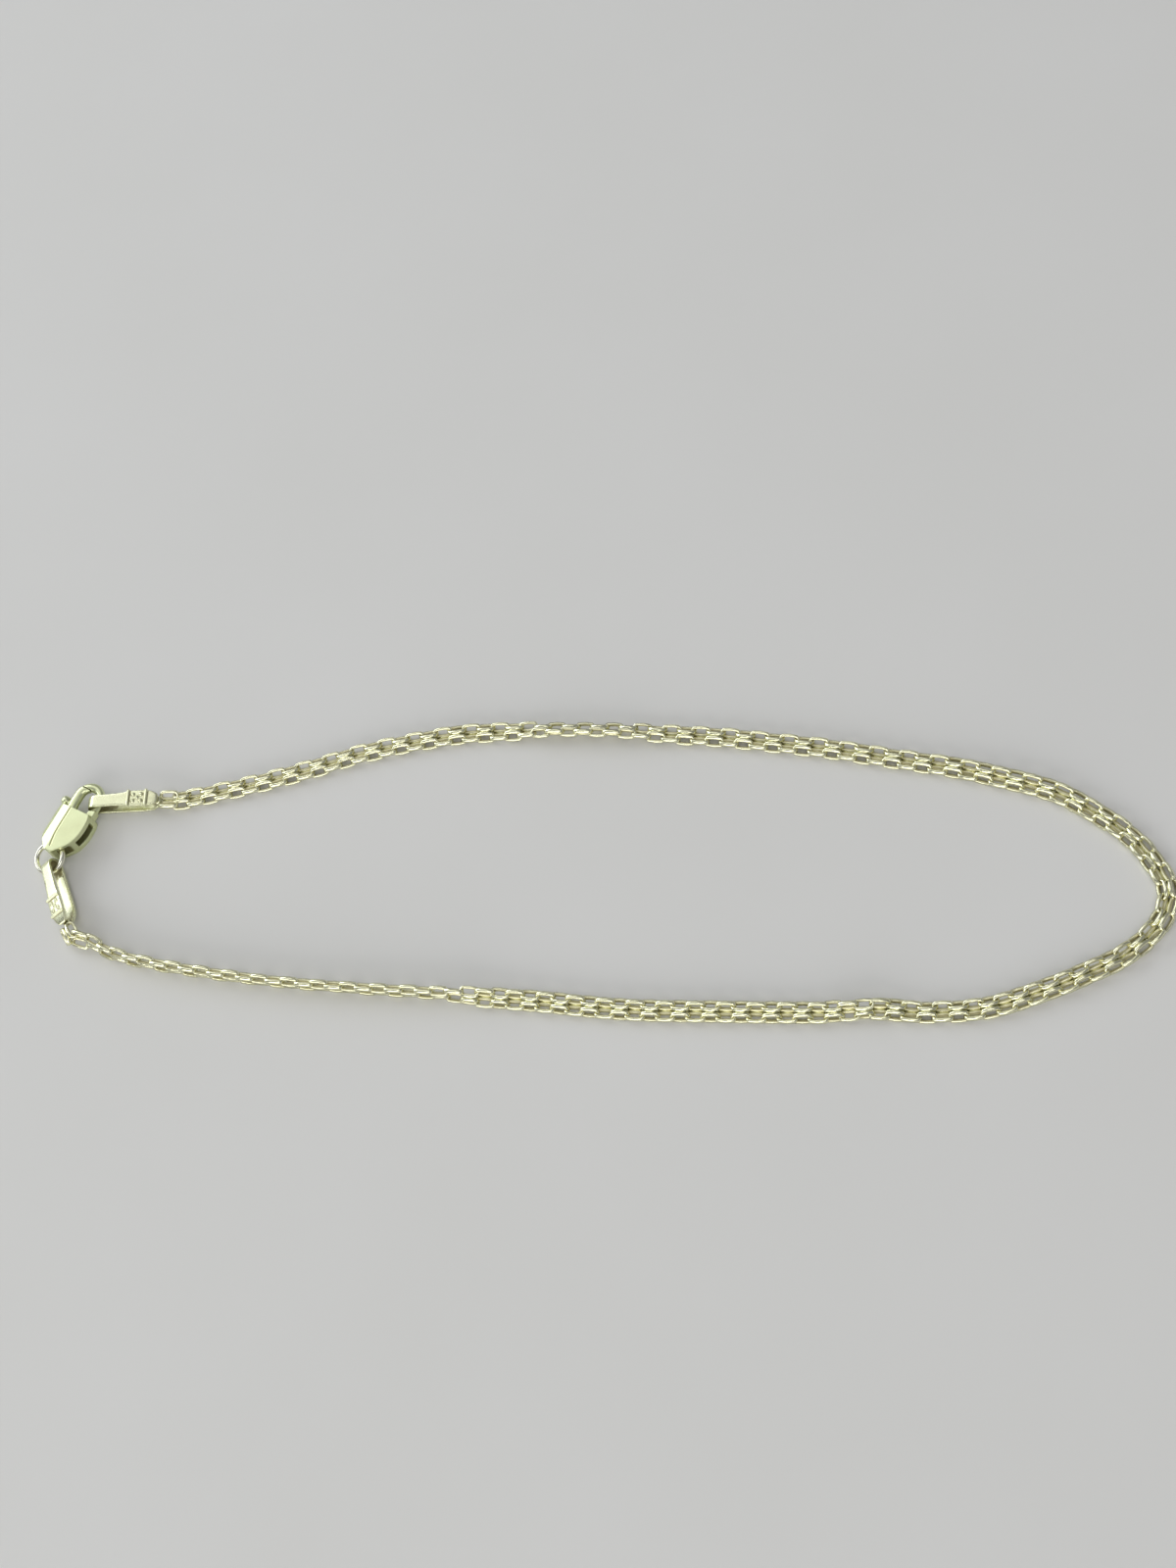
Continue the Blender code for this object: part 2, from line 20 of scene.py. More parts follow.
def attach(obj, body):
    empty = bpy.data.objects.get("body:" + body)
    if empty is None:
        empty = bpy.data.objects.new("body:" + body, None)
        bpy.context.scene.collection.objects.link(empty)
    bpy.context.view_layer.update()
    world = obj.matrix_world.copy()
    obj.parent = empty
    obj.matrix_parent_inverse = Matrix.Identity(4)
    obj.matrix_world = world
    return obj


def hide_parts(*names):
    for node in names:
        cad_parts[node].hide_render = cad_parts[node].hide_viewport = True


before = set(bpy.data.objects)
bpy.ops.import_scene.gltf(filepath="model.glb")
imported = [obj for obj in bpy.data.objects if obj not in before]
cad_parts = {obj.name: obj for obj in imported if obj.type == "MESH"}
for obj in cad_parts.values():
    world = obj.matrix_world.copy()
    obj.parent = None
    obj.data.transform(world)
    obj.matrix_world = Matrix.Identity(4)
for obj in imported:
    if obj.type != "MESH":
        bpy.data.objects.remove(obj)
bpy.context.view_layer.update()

logger = logging.getLogger("bracelet")

MM = 0.001

# The attribute that says how proud a vertex lies, and its value on a flat surface; under that value the
# finish paints shade into the colour
RELIEF = "relief"
LEVEL = 0.5

# How the sky over each vertex is sampled for hollows, whose hidden share is painted into the colour as shade
HOLLOW_RAYS = 12
HOLLOW_REACH = 1.3 * MM
OPEN_SHARE = 0.20
RAY_LIFT = 0.01 * MM
GOLDEN_SHARE = 3 - math.sqrt(5)

# Where the origin of the loop's own points lies in the CAD model's frame
LOOP_PLACE = Vector((-0.56, 0.16, 0.0))

# The angles of the two end tags about X, Y and Z, in degrees
CLAW_TAG_TURN = (0.0, 0.0, 4.0)
RING_TAG_TURN = (26.4, -1.5, -63.6)


class Carrier(Enum):
    """The bodies of the frame that a piece can ride on."""

    BRACELET = "bracelet"
    LEVER = "lever"


class Facing(Enum):
    """Which way a chain element's shared rail lies, as its turn about the chain."""

    LOW = 0.0
    HIGH = math.pi


class Join(Enum):
    """What a Boolean does with its tool."""

    ADD = "UNION"
    CUT = "DIFFERENCE"
    KEEP = "INTERSECT"


# Meshes


def smooth_through(rows: Sequence[Sequence[float]], steps: int) -> list[tuple[float, ...]]:
    """A smooth curve through rows of numbers.

    Args:
        rows: The rows that the curve passes through.
        steps: How many stretches lie between two rows.

    Returns:
        The rows of the curve, the given ones among them.
    """
    first = tuple(2 * a - b for a, b in zip(rows[0], rows[1]))
    last = tuple(2 * a - b for a, b in zip(rows[-1], rows[-2]))
    ends = [first, *rows, last]
    curve = []
    for before, start, stop, after in zip(ends, ends[1:], ends[2:], ends[3:]):
        for k in range(steps):
            t = k / steps
            curve.append(tuple(
                0.5 * (2 * b + (c - a) * t + (2 * a - 5 * b + 4 * c - d) * t * t
                       + (3 * b - a - 3 * c + d) * t ** 3)
                for a, b, c, d in zip(before, start, stop, after)))
    curve.append(tuple(rows[-1]))
    return curve


def squared(value: float, corner: float) -> float:
    """Moves a value on a circle towards a square one: 1 keeps the circle and less fills its corners."""
    return math.copysign(abs(value) ** corner, value)


def add_sweep(bm: bmesh.types.BMesh, path: Sequence[Vector], sections: Sequence[tuple[float, float]],
              across: Sequence[Vector], corner: float = 1.0, sides: int = 14) -> None:
    """Lofts a rounded section along a path and closes its ends.

    Args:
        bm: The mesh that the sweep is added to.
        path: The points of its middle line.
        sections: Half the width and half the height at each point.
        across: The direction of the width at each point.
        corner: 1 for an ellipse, and less for a section with fuller corners.
        sides: How many sides the section has.
    """
    rims = []
    last = len(path) - 1
    for i, (point, (half, rise), side) in enumerate(zip(path, sections, across)):
        along = (path[min(i + 1, last)] - path[max(i - 1, 0)]).normalized()
        lift = along.cross(side).normalized()
        width = lift.cross(along).normalized()
        rim = bmesh.ops.create_circle(bm, segments=sides, radius=1.0)["verts"]
        for vertex in rim:
            x, y = squared(vertex.co.x, corner), squared(vertex.co.y, corner)
            vertex.co = point + width * (x * half) + lift * (y * rise)
        inside = set(rim)
        rims.append(list({e for v in rim for e in v.link_edges if e.other_vert(v) in inside}))
    for a, b in zip(rims, rims[1:]):
        bmesh.ops.bridge_loops(bm, edges=a + b)
    for rim in (rims[0], rims[-1]):
        bmesh.ops.contextual_create(bm, geom=rim)


def add_tube(bm: bmesh.types.BMesh, path: Sequence[Vector], radii: Sequence[float]) -> None:
    """Adds a round tube that lies flat in the clasp's plane, with its own radius at each point."""
    add_sweep(bm, path, [(r, r) for r in radii], [Vector((0, 0, 1))] * len(path), sides=18)


def add_ball(bm: bmesh.types.BMesh, place: Vector, size: Sequence[float]) -> None:
    """Adds a ball that is stretched to its three half sizes."""
    matrix = Matrix.Translation(place) @ Matrix.Diagonal((*size, 1.0))
    bmesh.ops.create_uvsphere(bm, u_segments=20, v_segments=12, radius=1.0, matrix=matrix)


def add_cylinder(bm: bmesh.types.BMesh, place: Vector, radius: float, height: float, sides: int) -> None:
    """Adds an upright cylinder with closed ends round a place."""
    bmesh.ops.create_cone(bm, cap_ends=True, segments=sides, radius1=radius, radius2=radius,
                          depth=height, matrix=Matrix.Translation(place))


def add_block(bm: bmesh.types.BMesh, low: Sequence[float], high: Sequence[float],
              edge: float = 0.0) -> None:
    """Adds a block between two corners, with its edges rounded by a radius."""
    size = [b - a for a, b in zip(low, high)]
    middle = [(a + b) / 2 for a, b in zip(low, high)]
    matrix = Matrix.Translation(middle) @ Matrix.Diagonal((*size, 1.0))
    corners = bmesh.ops.create_cube(bm, size=1.0, matrix=matrix)["verts"]
    if edge > 0:
        edges = list({e for v in corners for e in v.link_edges})
        bmesh.ops.bevel(bm, geom=edges, offset=edge, segments=3, profile=0.5, affect="EDGES", material=-1)


def add_prism(bm: bmesh.types.BMesh, outline: Sequence[Sequence[float]], travel: Sequence[float]) -> None:
    """Adds a flat outline that is extruded by a vector."""
    face = bm.faces.new([bm.verts.new(point) for point in outline])
    grown = bmesh.ops.extrude_face_region(bm, geom=[face])["geom"]
    bmesh.ops.translate(bm, vec=travel, verts=[v for v in grown if isinstance(v, bmesh.types.BMVert)])


def loose_object(bm: bmesh.types.BMesh, name: str) -> bpy.types.Object:
    """Turns a bmesh in millimetres into an object for more work, with its faces pointing out."""
    bmesh.ops.recalc_face_normals(bm, faces=bm.faces)
    mesh = bpy.data.meshes.new(name)
    bm.to_mesh(mesh)
    bm.free()
    item = bpy.data.objects.new(name, mesh)
    bpy.context.scene.collection.objects.link(item)
    return item


def solid(name: str, add: Callable[..., None], *sizes: object, **options: object) -> bpy.types.Object:
    """Makes an object for more work from one of the shapes above."""
    bm = bmesh.new()
    add(bm, *sizes, **options)
    return loose_object(bm, name)


def combine(item: bpy.types.Object, tool: bpy.types.Object, join: Join) -> None:
    """Adds a Boolean with a tool object to an object."""
    modifier = item.modifiers.new(tool.name, "BOOLEAN")
    modifier.operation = join.value
    modifier.solver = "EXACT"
    modifier.object = tool


def fuse(item: bpy.types.Object, grain: float, passes: int) -> None:
    """Adds the steps that melt an object's parts into one polished casting.

    Args:
        item: The object, whose other modifiers come first.
        grain: The size of the faces in millimetres.
        passes: How often the surface is smoothed.
    """
    melt = item.modifiers.new("melt", "REMESH")
    melt.mode = "VOXEL"
    melt.voxel_size = grain
    polish = item.modifiers.new("polish", "SMOOTH")
    polish.factor = 0.5
    polish.iterations = passes


def finished(item: bpy.types.Object, name: str, place: Matrix) -> bpy.types.Object:
    """Applies an object's modifiers and puts its mesh at its place, in metres.

    Args:
        item: The object, with its mesh in millimetres.
        name: The name of the finished piece.
        place: Where it goes, in millimetres.

    Returns:
        The finished piece, at the origin and smooth.
    """
    bpy.context.view_layer.update()
    evaluated = item.evaluated_get(bpy.context.evaluated_depsgraph_get())
    mesh = bpy.data.meshes.new_from_object(evaluated)
    mesh.transform(Matrix.Scale(MM, 4) @ place)
    mesh.shade_smooth()
    mesh.name = name
    piece = bpy.data.objects.new(name, mesh)
    bpy.context.scene.collection.objects.link(piece)
    bpy.data.objects.remove(item, do_unlink=True)
    return piece


def drop(*items: bpy.types.Object) -> None:
    """Removes tool objects that are no longer needed."""
    for item in items:
        bpy.data.objects.remove(item, do_unlink=True)


def mark_relief(piece: bpy.types.Object, gain: float, passes: int) -> None:
    """Writes for each vertex how deep or how proud it lies: 0 in a hollow, 1 on an edge.

    Args:
        piece: The piece whose mesh gets the attribute.
        gain: How strongly the surface's bend counts.
        passes: How far the values are spread over their neighbours.
    """
    bm = bmesh.new()
    bm.from_mesh(piece.data)
    values = []
    for vertex in bm.verts:
        bends = [-(e.other_vert(vertex).co - vertex.co).normalized().dot(vertex.normal)
                 for e in vertex.link_edges]
        values.append(sum(bends) / max(1, len(bends)))
    around = [[e.other_vert(v).index for e in v.link_edges] for v in bm.verts]
    for _ in range(passes):
        values = [0.5 * value + 0.5 * sum(values[k] for k in near) / max(1, len(near))
                  for value, near in zip(values, around)]
    bm.free()
    # Where the relief lies under the flat level, the finish paints shade into the colour
    layer = piece.data.attributes.new(RELIEF, "FLOAT", "POINT")
    layer.data.foreach_set("value", [min(1.0, max(0.0, LEVEL + gain * value)) for value in values])


def paint_hollow_shade(pieces: dict[bpy.types.Object, float]) -> None:
    """Lowers the relief of each vertex by how much of the sky over it is hidden by the pieces, so that the
    finish paints shade there.

    Args:
        pieces: The pieces, each with its relief marked, and how far it falls where the whole sky is hidden.
    """
    corners, faces = [], []
    for piece in pieces:
        start = len(corners)
        corners += [vertex.co.copy() for vertex in piece.data.vertices]
        faces += [[start + k for k in face.vertices] for face in piece.data.polygons]
    tree = BVHTree.FromPolygons(corners, faces)
    sky = []
    for i in range(HOLLOW_RAYS):
        height = math.sqrt((i + 0.5) / HOLLOW_RAYS)
        turn = i * math.pi * GOLDEN_SHARE
        flat = math.sqrt(1 - height * height)
        sky.append(Vector((flat * math.cos(turn), flat * math.sin(turn), height)))
    for piece, depth in pieces.items():
        layer = piece.data.attributes[RELIEF].data
        for i, vertex in enumerate(piece.data.vertices):
            turn = vertex.normal.to_track_quat("Z", "X")
            start = vertex.co + vertex.normal * RAY_LIFT
            hidden = sum(tree.ray_cast(start, turn @ way, HOLLOW_REACH)[0] is not None for way in sky)
            fall = depth * max(0.0, hidden / HOLLOW_RAYS - OPEN_SHARE) / (1 - OPEN_SHARE)
            layer[i].value = max(0.0, layer[i].value - fall)


# Finishes


class Nodes:
    """Places nodes in a tree and links them."""

    def __init__(self, tree: bpy.types.NodeTree) -> None:
        """Takes the tree that the nodes go into."""
        self.tree = tree

    def add(self, kind: str, **values: object) -> bpy.types.Node:
        """Adds a node of a kind and sets its properties."""
        node = self.tree.nodes.new(kind)
        for key, value in values.items():
            setattr(node, key, value)
        return node

    def link(self, source: bpy.types.NodeSocket, target: bpy.types.NodeSocket) -> None:
        """Links one socket to another."""
        self.tree.links.new(source, target)

    def noise(self, where: bpy.types.NodeSocket, scale: float, detail: float) -> bpy.types.NodeSocket:
        """Adds a noise over a place and returns its value."""
        node = self.add("ShaderNodeTexNoise")
        node.inputs["Scale"].default_value = scale
        node.inputs["Detail"].default_value = detail
        self.link(where, node.inputs["Vector"])
        return node.outputs["Fac"]

    def maths(self, operation: str, first: object, second: object) -> bpy.types.NodeSocket:
        """Adds an operation on two values, each a socket or a number, and returns its result."""
        node = self.add("ShaderNodeMath", operation=operation)
        for socket, value in zip(node.inputs, (first, second)):
            if isinstance(value, (int, float)):
                socket.default_value = value
            else:
                self.link(value, socket)
        return node.outputs[0]

    def spread(self, value: bpy.types.NodeSocket, low: float, high: float, start: float,
               stop: float) -> bpy.types.NodeSocket:
        """Maps a value from one range to another, held at its ends."""
        node = self.add("ShaderNodeMapRange")
        for name, number in (("From Min", low), ("From Max", high), ("To Min", start), ("To Max", stop)):
            node.inputs[name].default_value = number
        self.link(value, node.inputs["Value"])
        return node.outputs["Result"]


@dataclass(frozen=True)
class Scratches:
    """Fine scratches along one direction: a noise that is turned, stretched and cut to its high parts."""

    turn: tuple[float, float, float]
    stretch: tuple[float, float, float]
    scale: float
    start: float
    full: float


@dataclass(frozen=True)
class GoldPattern:
    """The patterns on worn gold, with noise scales per metre and the share that each one adds."""

    drift_scale: float = 650.0
    drift_range: tuple[float, float] = (0.40, 0.75)
    drift_share: float = 0.18
    # How much of the shade colour is painted into hollows as shade, and the relief under which it is full
    shade_share: float = 0.85
    shade_full: float = 0.12
    cloud_scale: float = 2600.0
    cloud_range: tuple[float, float] = (0.35, 0.75)
    cloud_dulls: float = 0.10
    scratch_dulls: float = 0.16
    hollow_dulls: float = 0.28
    ripple_scale: float = 5200.0
    ripple_height: float = 0.8
    scratches: tuple[Scratches, Scratches] = (
        Scratches((0.5, 0.2, 0.9), (0.08, 1.6, 1.0), 16000.0, 0.55, 0.72),
        Scratches((-0.3, 0.4, -0.5), (1.5, 0.07, 1.0), 13000.0, 0.58, 0.74))


PATTERN = GoldPattern()


def gold_surface() -> bpy.types.NodeTree:
    """The shader group of worn gold that all finishes share, made once.

    Returns:
        The group: its Relief, Tint, Shade, Polish and Wear go in, and Color, Roughness and Height come out.
    """
    known = bpy.data.node_groups.get("gold_surface")
    if known is not None:
        return known
    tree = bpy.data.node_groups.new("gold_surface", "ShaderNodeTree")
    for name, kind in (("Relief", "NodeSocketFloat"), ("Tint", "NodeSocketColor"),
                       ("Shade", "NodeSocketColor"), ("Polish", "NodeSocketFloat"),
                       ("Wear", "NodeSocketFloat")):
        tree.interface.new_socket(name, in_out="INPUT", socket_type=kind)
    for name, kind in (("Color", "NodeSocketColor"), ("Roughness", "NodeSocketFloat"),
                       ("Height", "NodeSocketFloat")):
        tree.interface.new_socket(name, in_out="OUTPUT", socket_type=kind)
    nodes = Nodes(tree)
    given = nodes.add("NodeGroupInput")
    result = nodes.add("NodeGroupOutput")
    where = nodes.add("ShaderNodeTexCoord").outputs["Object"]

    # Hollows get painted shade: the colour is mixed towards the shade colour where the relief is low, and
    # the alloy's colour drifts a little from place to place
    patches = nodes.noise(where, PATTERN.drift_scale, 3.0)
    drift = nodes.spread(patches, *PATTERN.drift_range, 0.0, PATTERN.drift_share)
    # Painted shade: full where the relief is low, none on a flat or proud surface
    hollow_shade = nodes.spread(given.outputs["Relief"], PATTERN.shade_full, LEVEL, PATTERN.shade_share, 0.0)
    mixed = nodes.add("ShaderNodeMix", data_type="RGBA")
    nodes.link(nodes.maths("MAXIMUM", drift, hollow_shade), mixed.inputs["Factor"])
    nodes.link(given.outputs["Tint"], mixed.inputs["A"])
    nodes.link(given.outputs["Shade"], mixed.inputs["B"])
    nodes.link(mixed.outputs["Result"], result.inputs["Color"])

    # Handling marks: soft clouds, and fine scratches that run along two directions
    cloud = nodes.spread(nodes.noise(where, PATTERN.cloud_scale, 4.0), *PATTERN.cloud_range, 0.0, 1.0)
    marks = []
    for lines in PATTERN.scratches:
        turned = nodes.add("ShaderNodeMapping")
        turned.inputs["Rotation"].default_value = lines.turn
        turned.inputs["Scale"].default_value = lines.stretch
        nodes.link(where, turned.inputs["Vector"])
        noise = nodes.noise(turned.outputs["Vector"], lines.scale, 2.0)
        marks.append(nodes.spread(noise, lines.start, lines.full, 0.0, 1.0))
    scratches = nodes.maths("MULTIPLY", nodes.maths("MAXIMUM", *marks), given.outputs["Wear"])
    rough = given.outputs["Polish"]
    for mask, dulls in ((cloud, PATTERN.cloud_dulls), (scratches, PATTERN.scratch_dulls),
                        (hollow_shade, PATTERN.hollow_dulls)):
        rough = nodes.maths("ADD", rough, nodes.maths("MULTIPLY", mask, dulls))
    nodes.link(rough, result.inputs["Roughness"])
    ripple = nodes.maths("MULTIPLY", nodes.noise(where, PATTERN.ripple_scale, 2.0), PATTERN.ripple_height)
    nodes.link(nodes.maths("SUBTRACT", ripple, scratches), result.inputs["Height"])
    return tree


@dataclass(frozen=True)
class GoldFinish:
    """A finish of pale yellow gold: its colour, and a darker one that is painted into hollows as shade and
    drifts in a little at random, its polish and its wear.

    The ripple says how strongly its marks show, and the hollow how far its relief falls where neighbours
    hide the whole sky, which deepens the painted shade there.
    """

    slot: str
    tint: tuple[float, float, float]
    shade: tuple[float, float, float]
    polish: float
    wear: float
    ripple: float
    hollow: float = 0.0
    relief: bool = True
    ripple_depth: float = 0.006

    def material(self) -> bpy.types.Material:
        """Builds the material, with its shader in the material itself.

        Returns:
            The finished material.
        """
        made = bpy.data.materials.new(self.slot + "_finish")
        made.use_nodes = True
        nodes = Nodes(made.node_tree)
        shader = made.node_tree.nodes["Principled BSDF"]
        shader.inputs["Metallic"].default_value = 1.0
        group = nodes.add("ShaderNodeGroup", node_tree=gold_surface())
        group.inputs["Tint"].default_value = (*self.tint, 1.0)
        group.inputs["Shade"].default_value = (*self.shade, 1.0)
        group.inputs["Polish"].default_value = self.polish
        group.inputs["Wear"].default_value = self.wear
        group.inputs["Relief"].default_value = LEVEL
        if self.relief:
            mark = nodes.add("ShaderNodeAttribute", attribute_name=RELIEF)
            nodes.link(mark.outputs["Fac"], group.inputs["Relief"])
        bump = nodes.add("ShaderNodeBump")
        bump.inputs["Strength"].default_value = self.ripple
        bump.inputs["Distance"].default_value = self.ripple_depth * MM
        nodes.link(group.outputs["Height"], bump.inputs["Height"])
        nodes.link(group.outputs["Color"], shader.inputs["Base Color"])
        nodes.link(group.outputs["Roughness"], shader.inputs["Roughness"])
        nodes.link(bump.outputs["Normal"], shader.inputs["Normal"])
        return made


# The second colour of each finish is painted into hollows as shade; the tags' is darkest, to paint the shade
# in the gap between their leaves
CHAIN_GOLD = GoldFinish("chain_gold", (0.95, 0.94, 0.66), (0.56, 0.50, 0.26), 0.17, 0.5, 0.20, hollow=0.22)
TAG_GOLD = GoldFinish("tag_gold", (0.90, 0.91, 0.62), (0.24, 0.20, 0.09), 0.24, 0.5, 0.08, hollow=1.3)
RING_GOLD = GoldFinish("ring_gold", (0.96, 0.95, 0.80), (0.44, 0.38, 0.20), 0.14, 0.4, 0.08, hollow=0.3)
CLASP_GOLD = GoldFinish("clasp_gold", (0.81, 0.86, 0.53), (0.36, 0.32, 0.14), 0.28, 0.5, 0.08, hollow=0.5)
PIN_GOLD = GoldFinish("pin_gold", (0.70, 0.64, 0.38), (0.40, 0.30, 0.10), 0.26, 1.0, 0.40, relief=False)


def dress(piece: bpy.types.Object, finish: GoldFinish, carrier: Carrier, *nodes: str) -> bpy.types.Object:
    """Gives a piece its finish and its place in the frame.

    Args:
        piece: The finished piece.
        finish: The gold that it is made of.
        carrier: The body that it moves with.
        nodes: The CAD nodes that it stands for.

    Returns:
        The piece.
    """
    piece.data.materials.clear()
    piece.data.materials.append(finish.material())
    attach(piece, carrier.value)
    if nodes:
        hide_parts(*nodes)
    lowest = min(vertex.co.z for vertex in piece.data.vertices) / MM
    logger.info("%s: %d faces, %.3f mm over the table", piece.name, len(piece.data.polygons), lowest)
    return piece


# The clasp's end of the loop


@dataclass
class ClaspFrame:
    """The clasp's own axes: u along it from the tail to the claw, v to its left and z up."""

    place: tuple[float, float] = (-43.30, 0.33)
    turn: float = 67.0

    def matrix(self) -> Matrix:
        """The matrix from the clasp's axes to the bracelet's."""
        there = LOOP_PLACE + Vector((*self.place, 0.0))
        return Matrix.Translation(there) @ Matrix.Rotation(math.radians(self.turn), 4, "Z")

    def point(self, u: float, v: float, z: float) -> Vector:
        """A point of the clasp's axes in the bracelet's."""
        return self.matrix() @ Vector((u, v, z))


@dataclass
class Claw:
    """The round hook that the claw and the lever's arm share, and the seat of a tag in it."""

    centre: tuple[float, float] = (5.42, -0.25)
    radius: float = 1.03
    wire: float = 0.65
    swell: float = 0.065
    cut: float = 6.16
    cut_side: float = 0.2
    gap: float = 0.06
    seat_height: float = 0.90
    seat_slack: float = 0.15

    def arc(self, start: float, stop: float, steps: int, height: float) -> list[Vector]:
        """Points on the hook, with 0 degrees straight ahead and the root at -90."""
        u, v = self.centre
        angles = [math.radians(start + (stop - start) * i / steps) for i in range(steps + 1)]
        return [Vector((u + self.radius * math.cos(angle), v + self.radius * math.sin(angle), height))
                for angle in angles]

    def seat(self, axes: ClaspFrame, heading: float) -> Vector:
        """Where a tag's fold lies in the hook.

        Args:
            axes: The clasp's axes.
            heading: The way that the tag points from there, in degrees about Z.

        Returns:
            The middle of the fold in the bracelet's axes.
        """
        turn = math.radians(heading)
        held = axes.point(self.centre[0], self.centre[1] - self.radius, self.seat_height)
        return held - Vector((math.cos(turn), math.sin(turn), 0)) * self.seat_slack


@dataclass
class ClaspBody:
    """The lobster clasp's cast body: two cheeks round a slot, a tail eye and the claw.

    The points of the edges are shares of the length and of the left or right half width. Those of the crease
    and of the claw's foot are places in the clasp's axes.
    """

    axes: ClaspFrame
    claw: Claw
    thickness: float = 1.90
    length: float = 4.12
    left: float = 1.72
    right: float = 1.80
    crease: float = 0.27
    crease_width: float = 0.055
    crease_depth: float = 0.045
    face_share: float = 0.7
    tail_wall: float = 0.31
    overhang: float = 0.05
    eye_length: float = 0.90
    eye_height: float = 1.10
    web: float = 0.44
    slot_height: float = 0.84
    slot_wall: float = 1.13
    pillar: float = 0.50
    pillar_width: float = 0.88
    mouth: float = 2.97
    front_corner: float = 0.12
    eye_edge: float = 0.12
    shoulder_turn: float = 70.0
    shoulder_step: float = 7.0
    shoulder_reach: float = 1.02
    shoulder_rise: float = 0.97
    root_share: float = 0.8
    root_steps: int = 6
    hook_end: float = 62.0
    hook_steps: int = 34
    thin_steps: int = 14
    foot_height: float = 0.80
    margin: float = 0.1
    beyond: float = 3.0
    grain: float = 0.036
    left_edge: tuple[tuple[float, float], ...] = (
        (0.00, 0.18), (0.03, 0.30), (0.08, 0.42), (0.18, 0.66), (0.36, 0.92), (0.58, 1.00), (0.80, 0.95),
        (0.95, 0.83))
    right_edge: tuple[tuple[float, float], ...] = (
        (0.97, 0.91), (0.84, 0.99), (0.60, 1.00), (0.36, 0.86), (0.20, 0.60), (0.10, 0.38), (0.04, 0.25),
        (0.00, 0.12))
    crease_line: tuple[tuple[float, float], ...] = (
        (0.40, 0.02), (0.90, 0.14), (1.60, 0.25), (2.80, 0.29), (4.20, 0.28))
    foot: tuple[tuple[float, float], ...] = (
        (3.55, -1.62), (4.62, -1.60), (4.66, -1.46), (4.50, -1.06), (4.40, -0.98), (3.55, -0.95))

    def outline(self) -> list[tuple[float, float, float]]:
        """The body's outline from above, left side first."""
        left = smooth_through([(u * self.length, v * self.left) for u, v in self.left_edge], 6)
        right = smooth_through([(u * self.length, -v * self.right) for u, v in self.right_edge], 6)
        front = [(self.length, left[-1][1] - self.front_corner),
                 (self.length, right[0][1] + self.front_corner)]
        return [(u - self.overhang, v, -self.margin) for u, v in left + front + right]

    def spine(self) -> list[tuple[float, float, float]]:
        """The body's cross-section: a flat panel, a sloped band beside it and a rounded spine."""
        middle = self.thickness / 2
        shoulder = self.left - self.crease
        start, far = -self.beyond, -self.beyond - 1
        full = math.sin(math.radians(self.shoulder_turn))
        steps = round(2 * self.shoulder_turn / self.shoulder_step)

        # Without the two points at each end, a sloped band joins the arc to the flat panel
        arc = []
        for i in range(2, steps - 1):
            angle = math.radians(self.shoulder_turn - self.shoulder_step * i)
            arc.append((start, self.crease + shoulder * math.cos(angle) * self.shoulder_reach,
                        middle + middle * self.shoulder_rise * math.sin(angle) / full))
        flat = [(start, far, 0.0), (start, far, self.thickness), (start, self.crease, self.thickness)]
        return flat + arc + [(start, self.crease, 0.0)]

    def build(self) -> bpy.types.Object:
        """Builds the body in the clasp's axes and puts it in its place.

        Returns:
            The finished casting.
        """
        middle = self.thickness / 2
        low, high = middle - self.slot_height / 2, middle + self.slot_height / 2
        eye_start = self.tail_wall - self.overhang
        eye_stop = eye_start + self.eye_length
        front = self.length - self.overhang
        height = self.thickness + 2 * self.margin
        body = solid("clasp_body_block", add_prism, self.outline(), (0, 0, height))
        bar = solid("spine_bar", add_prism, self.spine(), (self.length + 2 * self.beyond, 0, 0))
        combine(body, bar, Join.KEEP)
        eye = solid("eye", add_block, (eye_start, -self.beyond, middle - self.eye_height / 2),
                    (eye_stop, self.beyond, middle + self.eye_height / 2), self.eye_edge)
        slot = solid("slot", add_block, (eye_stop + self.web, -self.beyond, low),
                     (front - self.pillar, self.slot_wall, high))
        mouth = solid("mouth", add_block, (self.mouth, self.pillar_width - self.right, low),
                      (front + self.beyond, self.slot_wall, high))
        for tool in (eye, slot, mouth):
            combine(body, tool, Join.CUT)

        root = self.claw.arc(-90.0, -90.0, 1, middle)[0]
        start = Vector((front - self.pillar * self.root_share, root.y, middle))
        hook = [start.lerp(root, i / self.root_steps) for i in range(self.root_steps)]
        hook += self.claw.arc(-90.0, self.hook_end, self.hook_steps, middle)

        # The wire is thin at its root and swells over as many steps again as it stays thin
        growth = [min(1.0, max(0.0, (i - self.thin_steps) / self.thin_steps)) for i in range(len(hook))]
        swell = [self.claw.wire / 2 + self.claw.swell * share for share in growth]
        wire = solid("claw_wire", add_tube, hook, swell)
        u, v = self.claw.centre
        tip = solid("claw_tip", add_block, (u - self.claw.wire, v + self.claw.cut_side, -self.beyond),
                    (self.claw.cut, v + self.beyond, self.beyond))
        combine(wire, tip, Join.CUT)
        combine(body, wire, Join.ADD)
        foot = [(*point, middle - self.foot_height / 2) for point in self.foot]
        pillar = solid("claw_foot", add_prism, foot, (0, 0, self.foot_height))
        combine(body, pillar, Join.ADD)
        fuse(body, self.grain, passes=4)
        piece = finished(body, "clasp_casting", self.axes.matrix())
        drop(bar, eye, slot, mouth, wire, tip, pillar)
        return piece

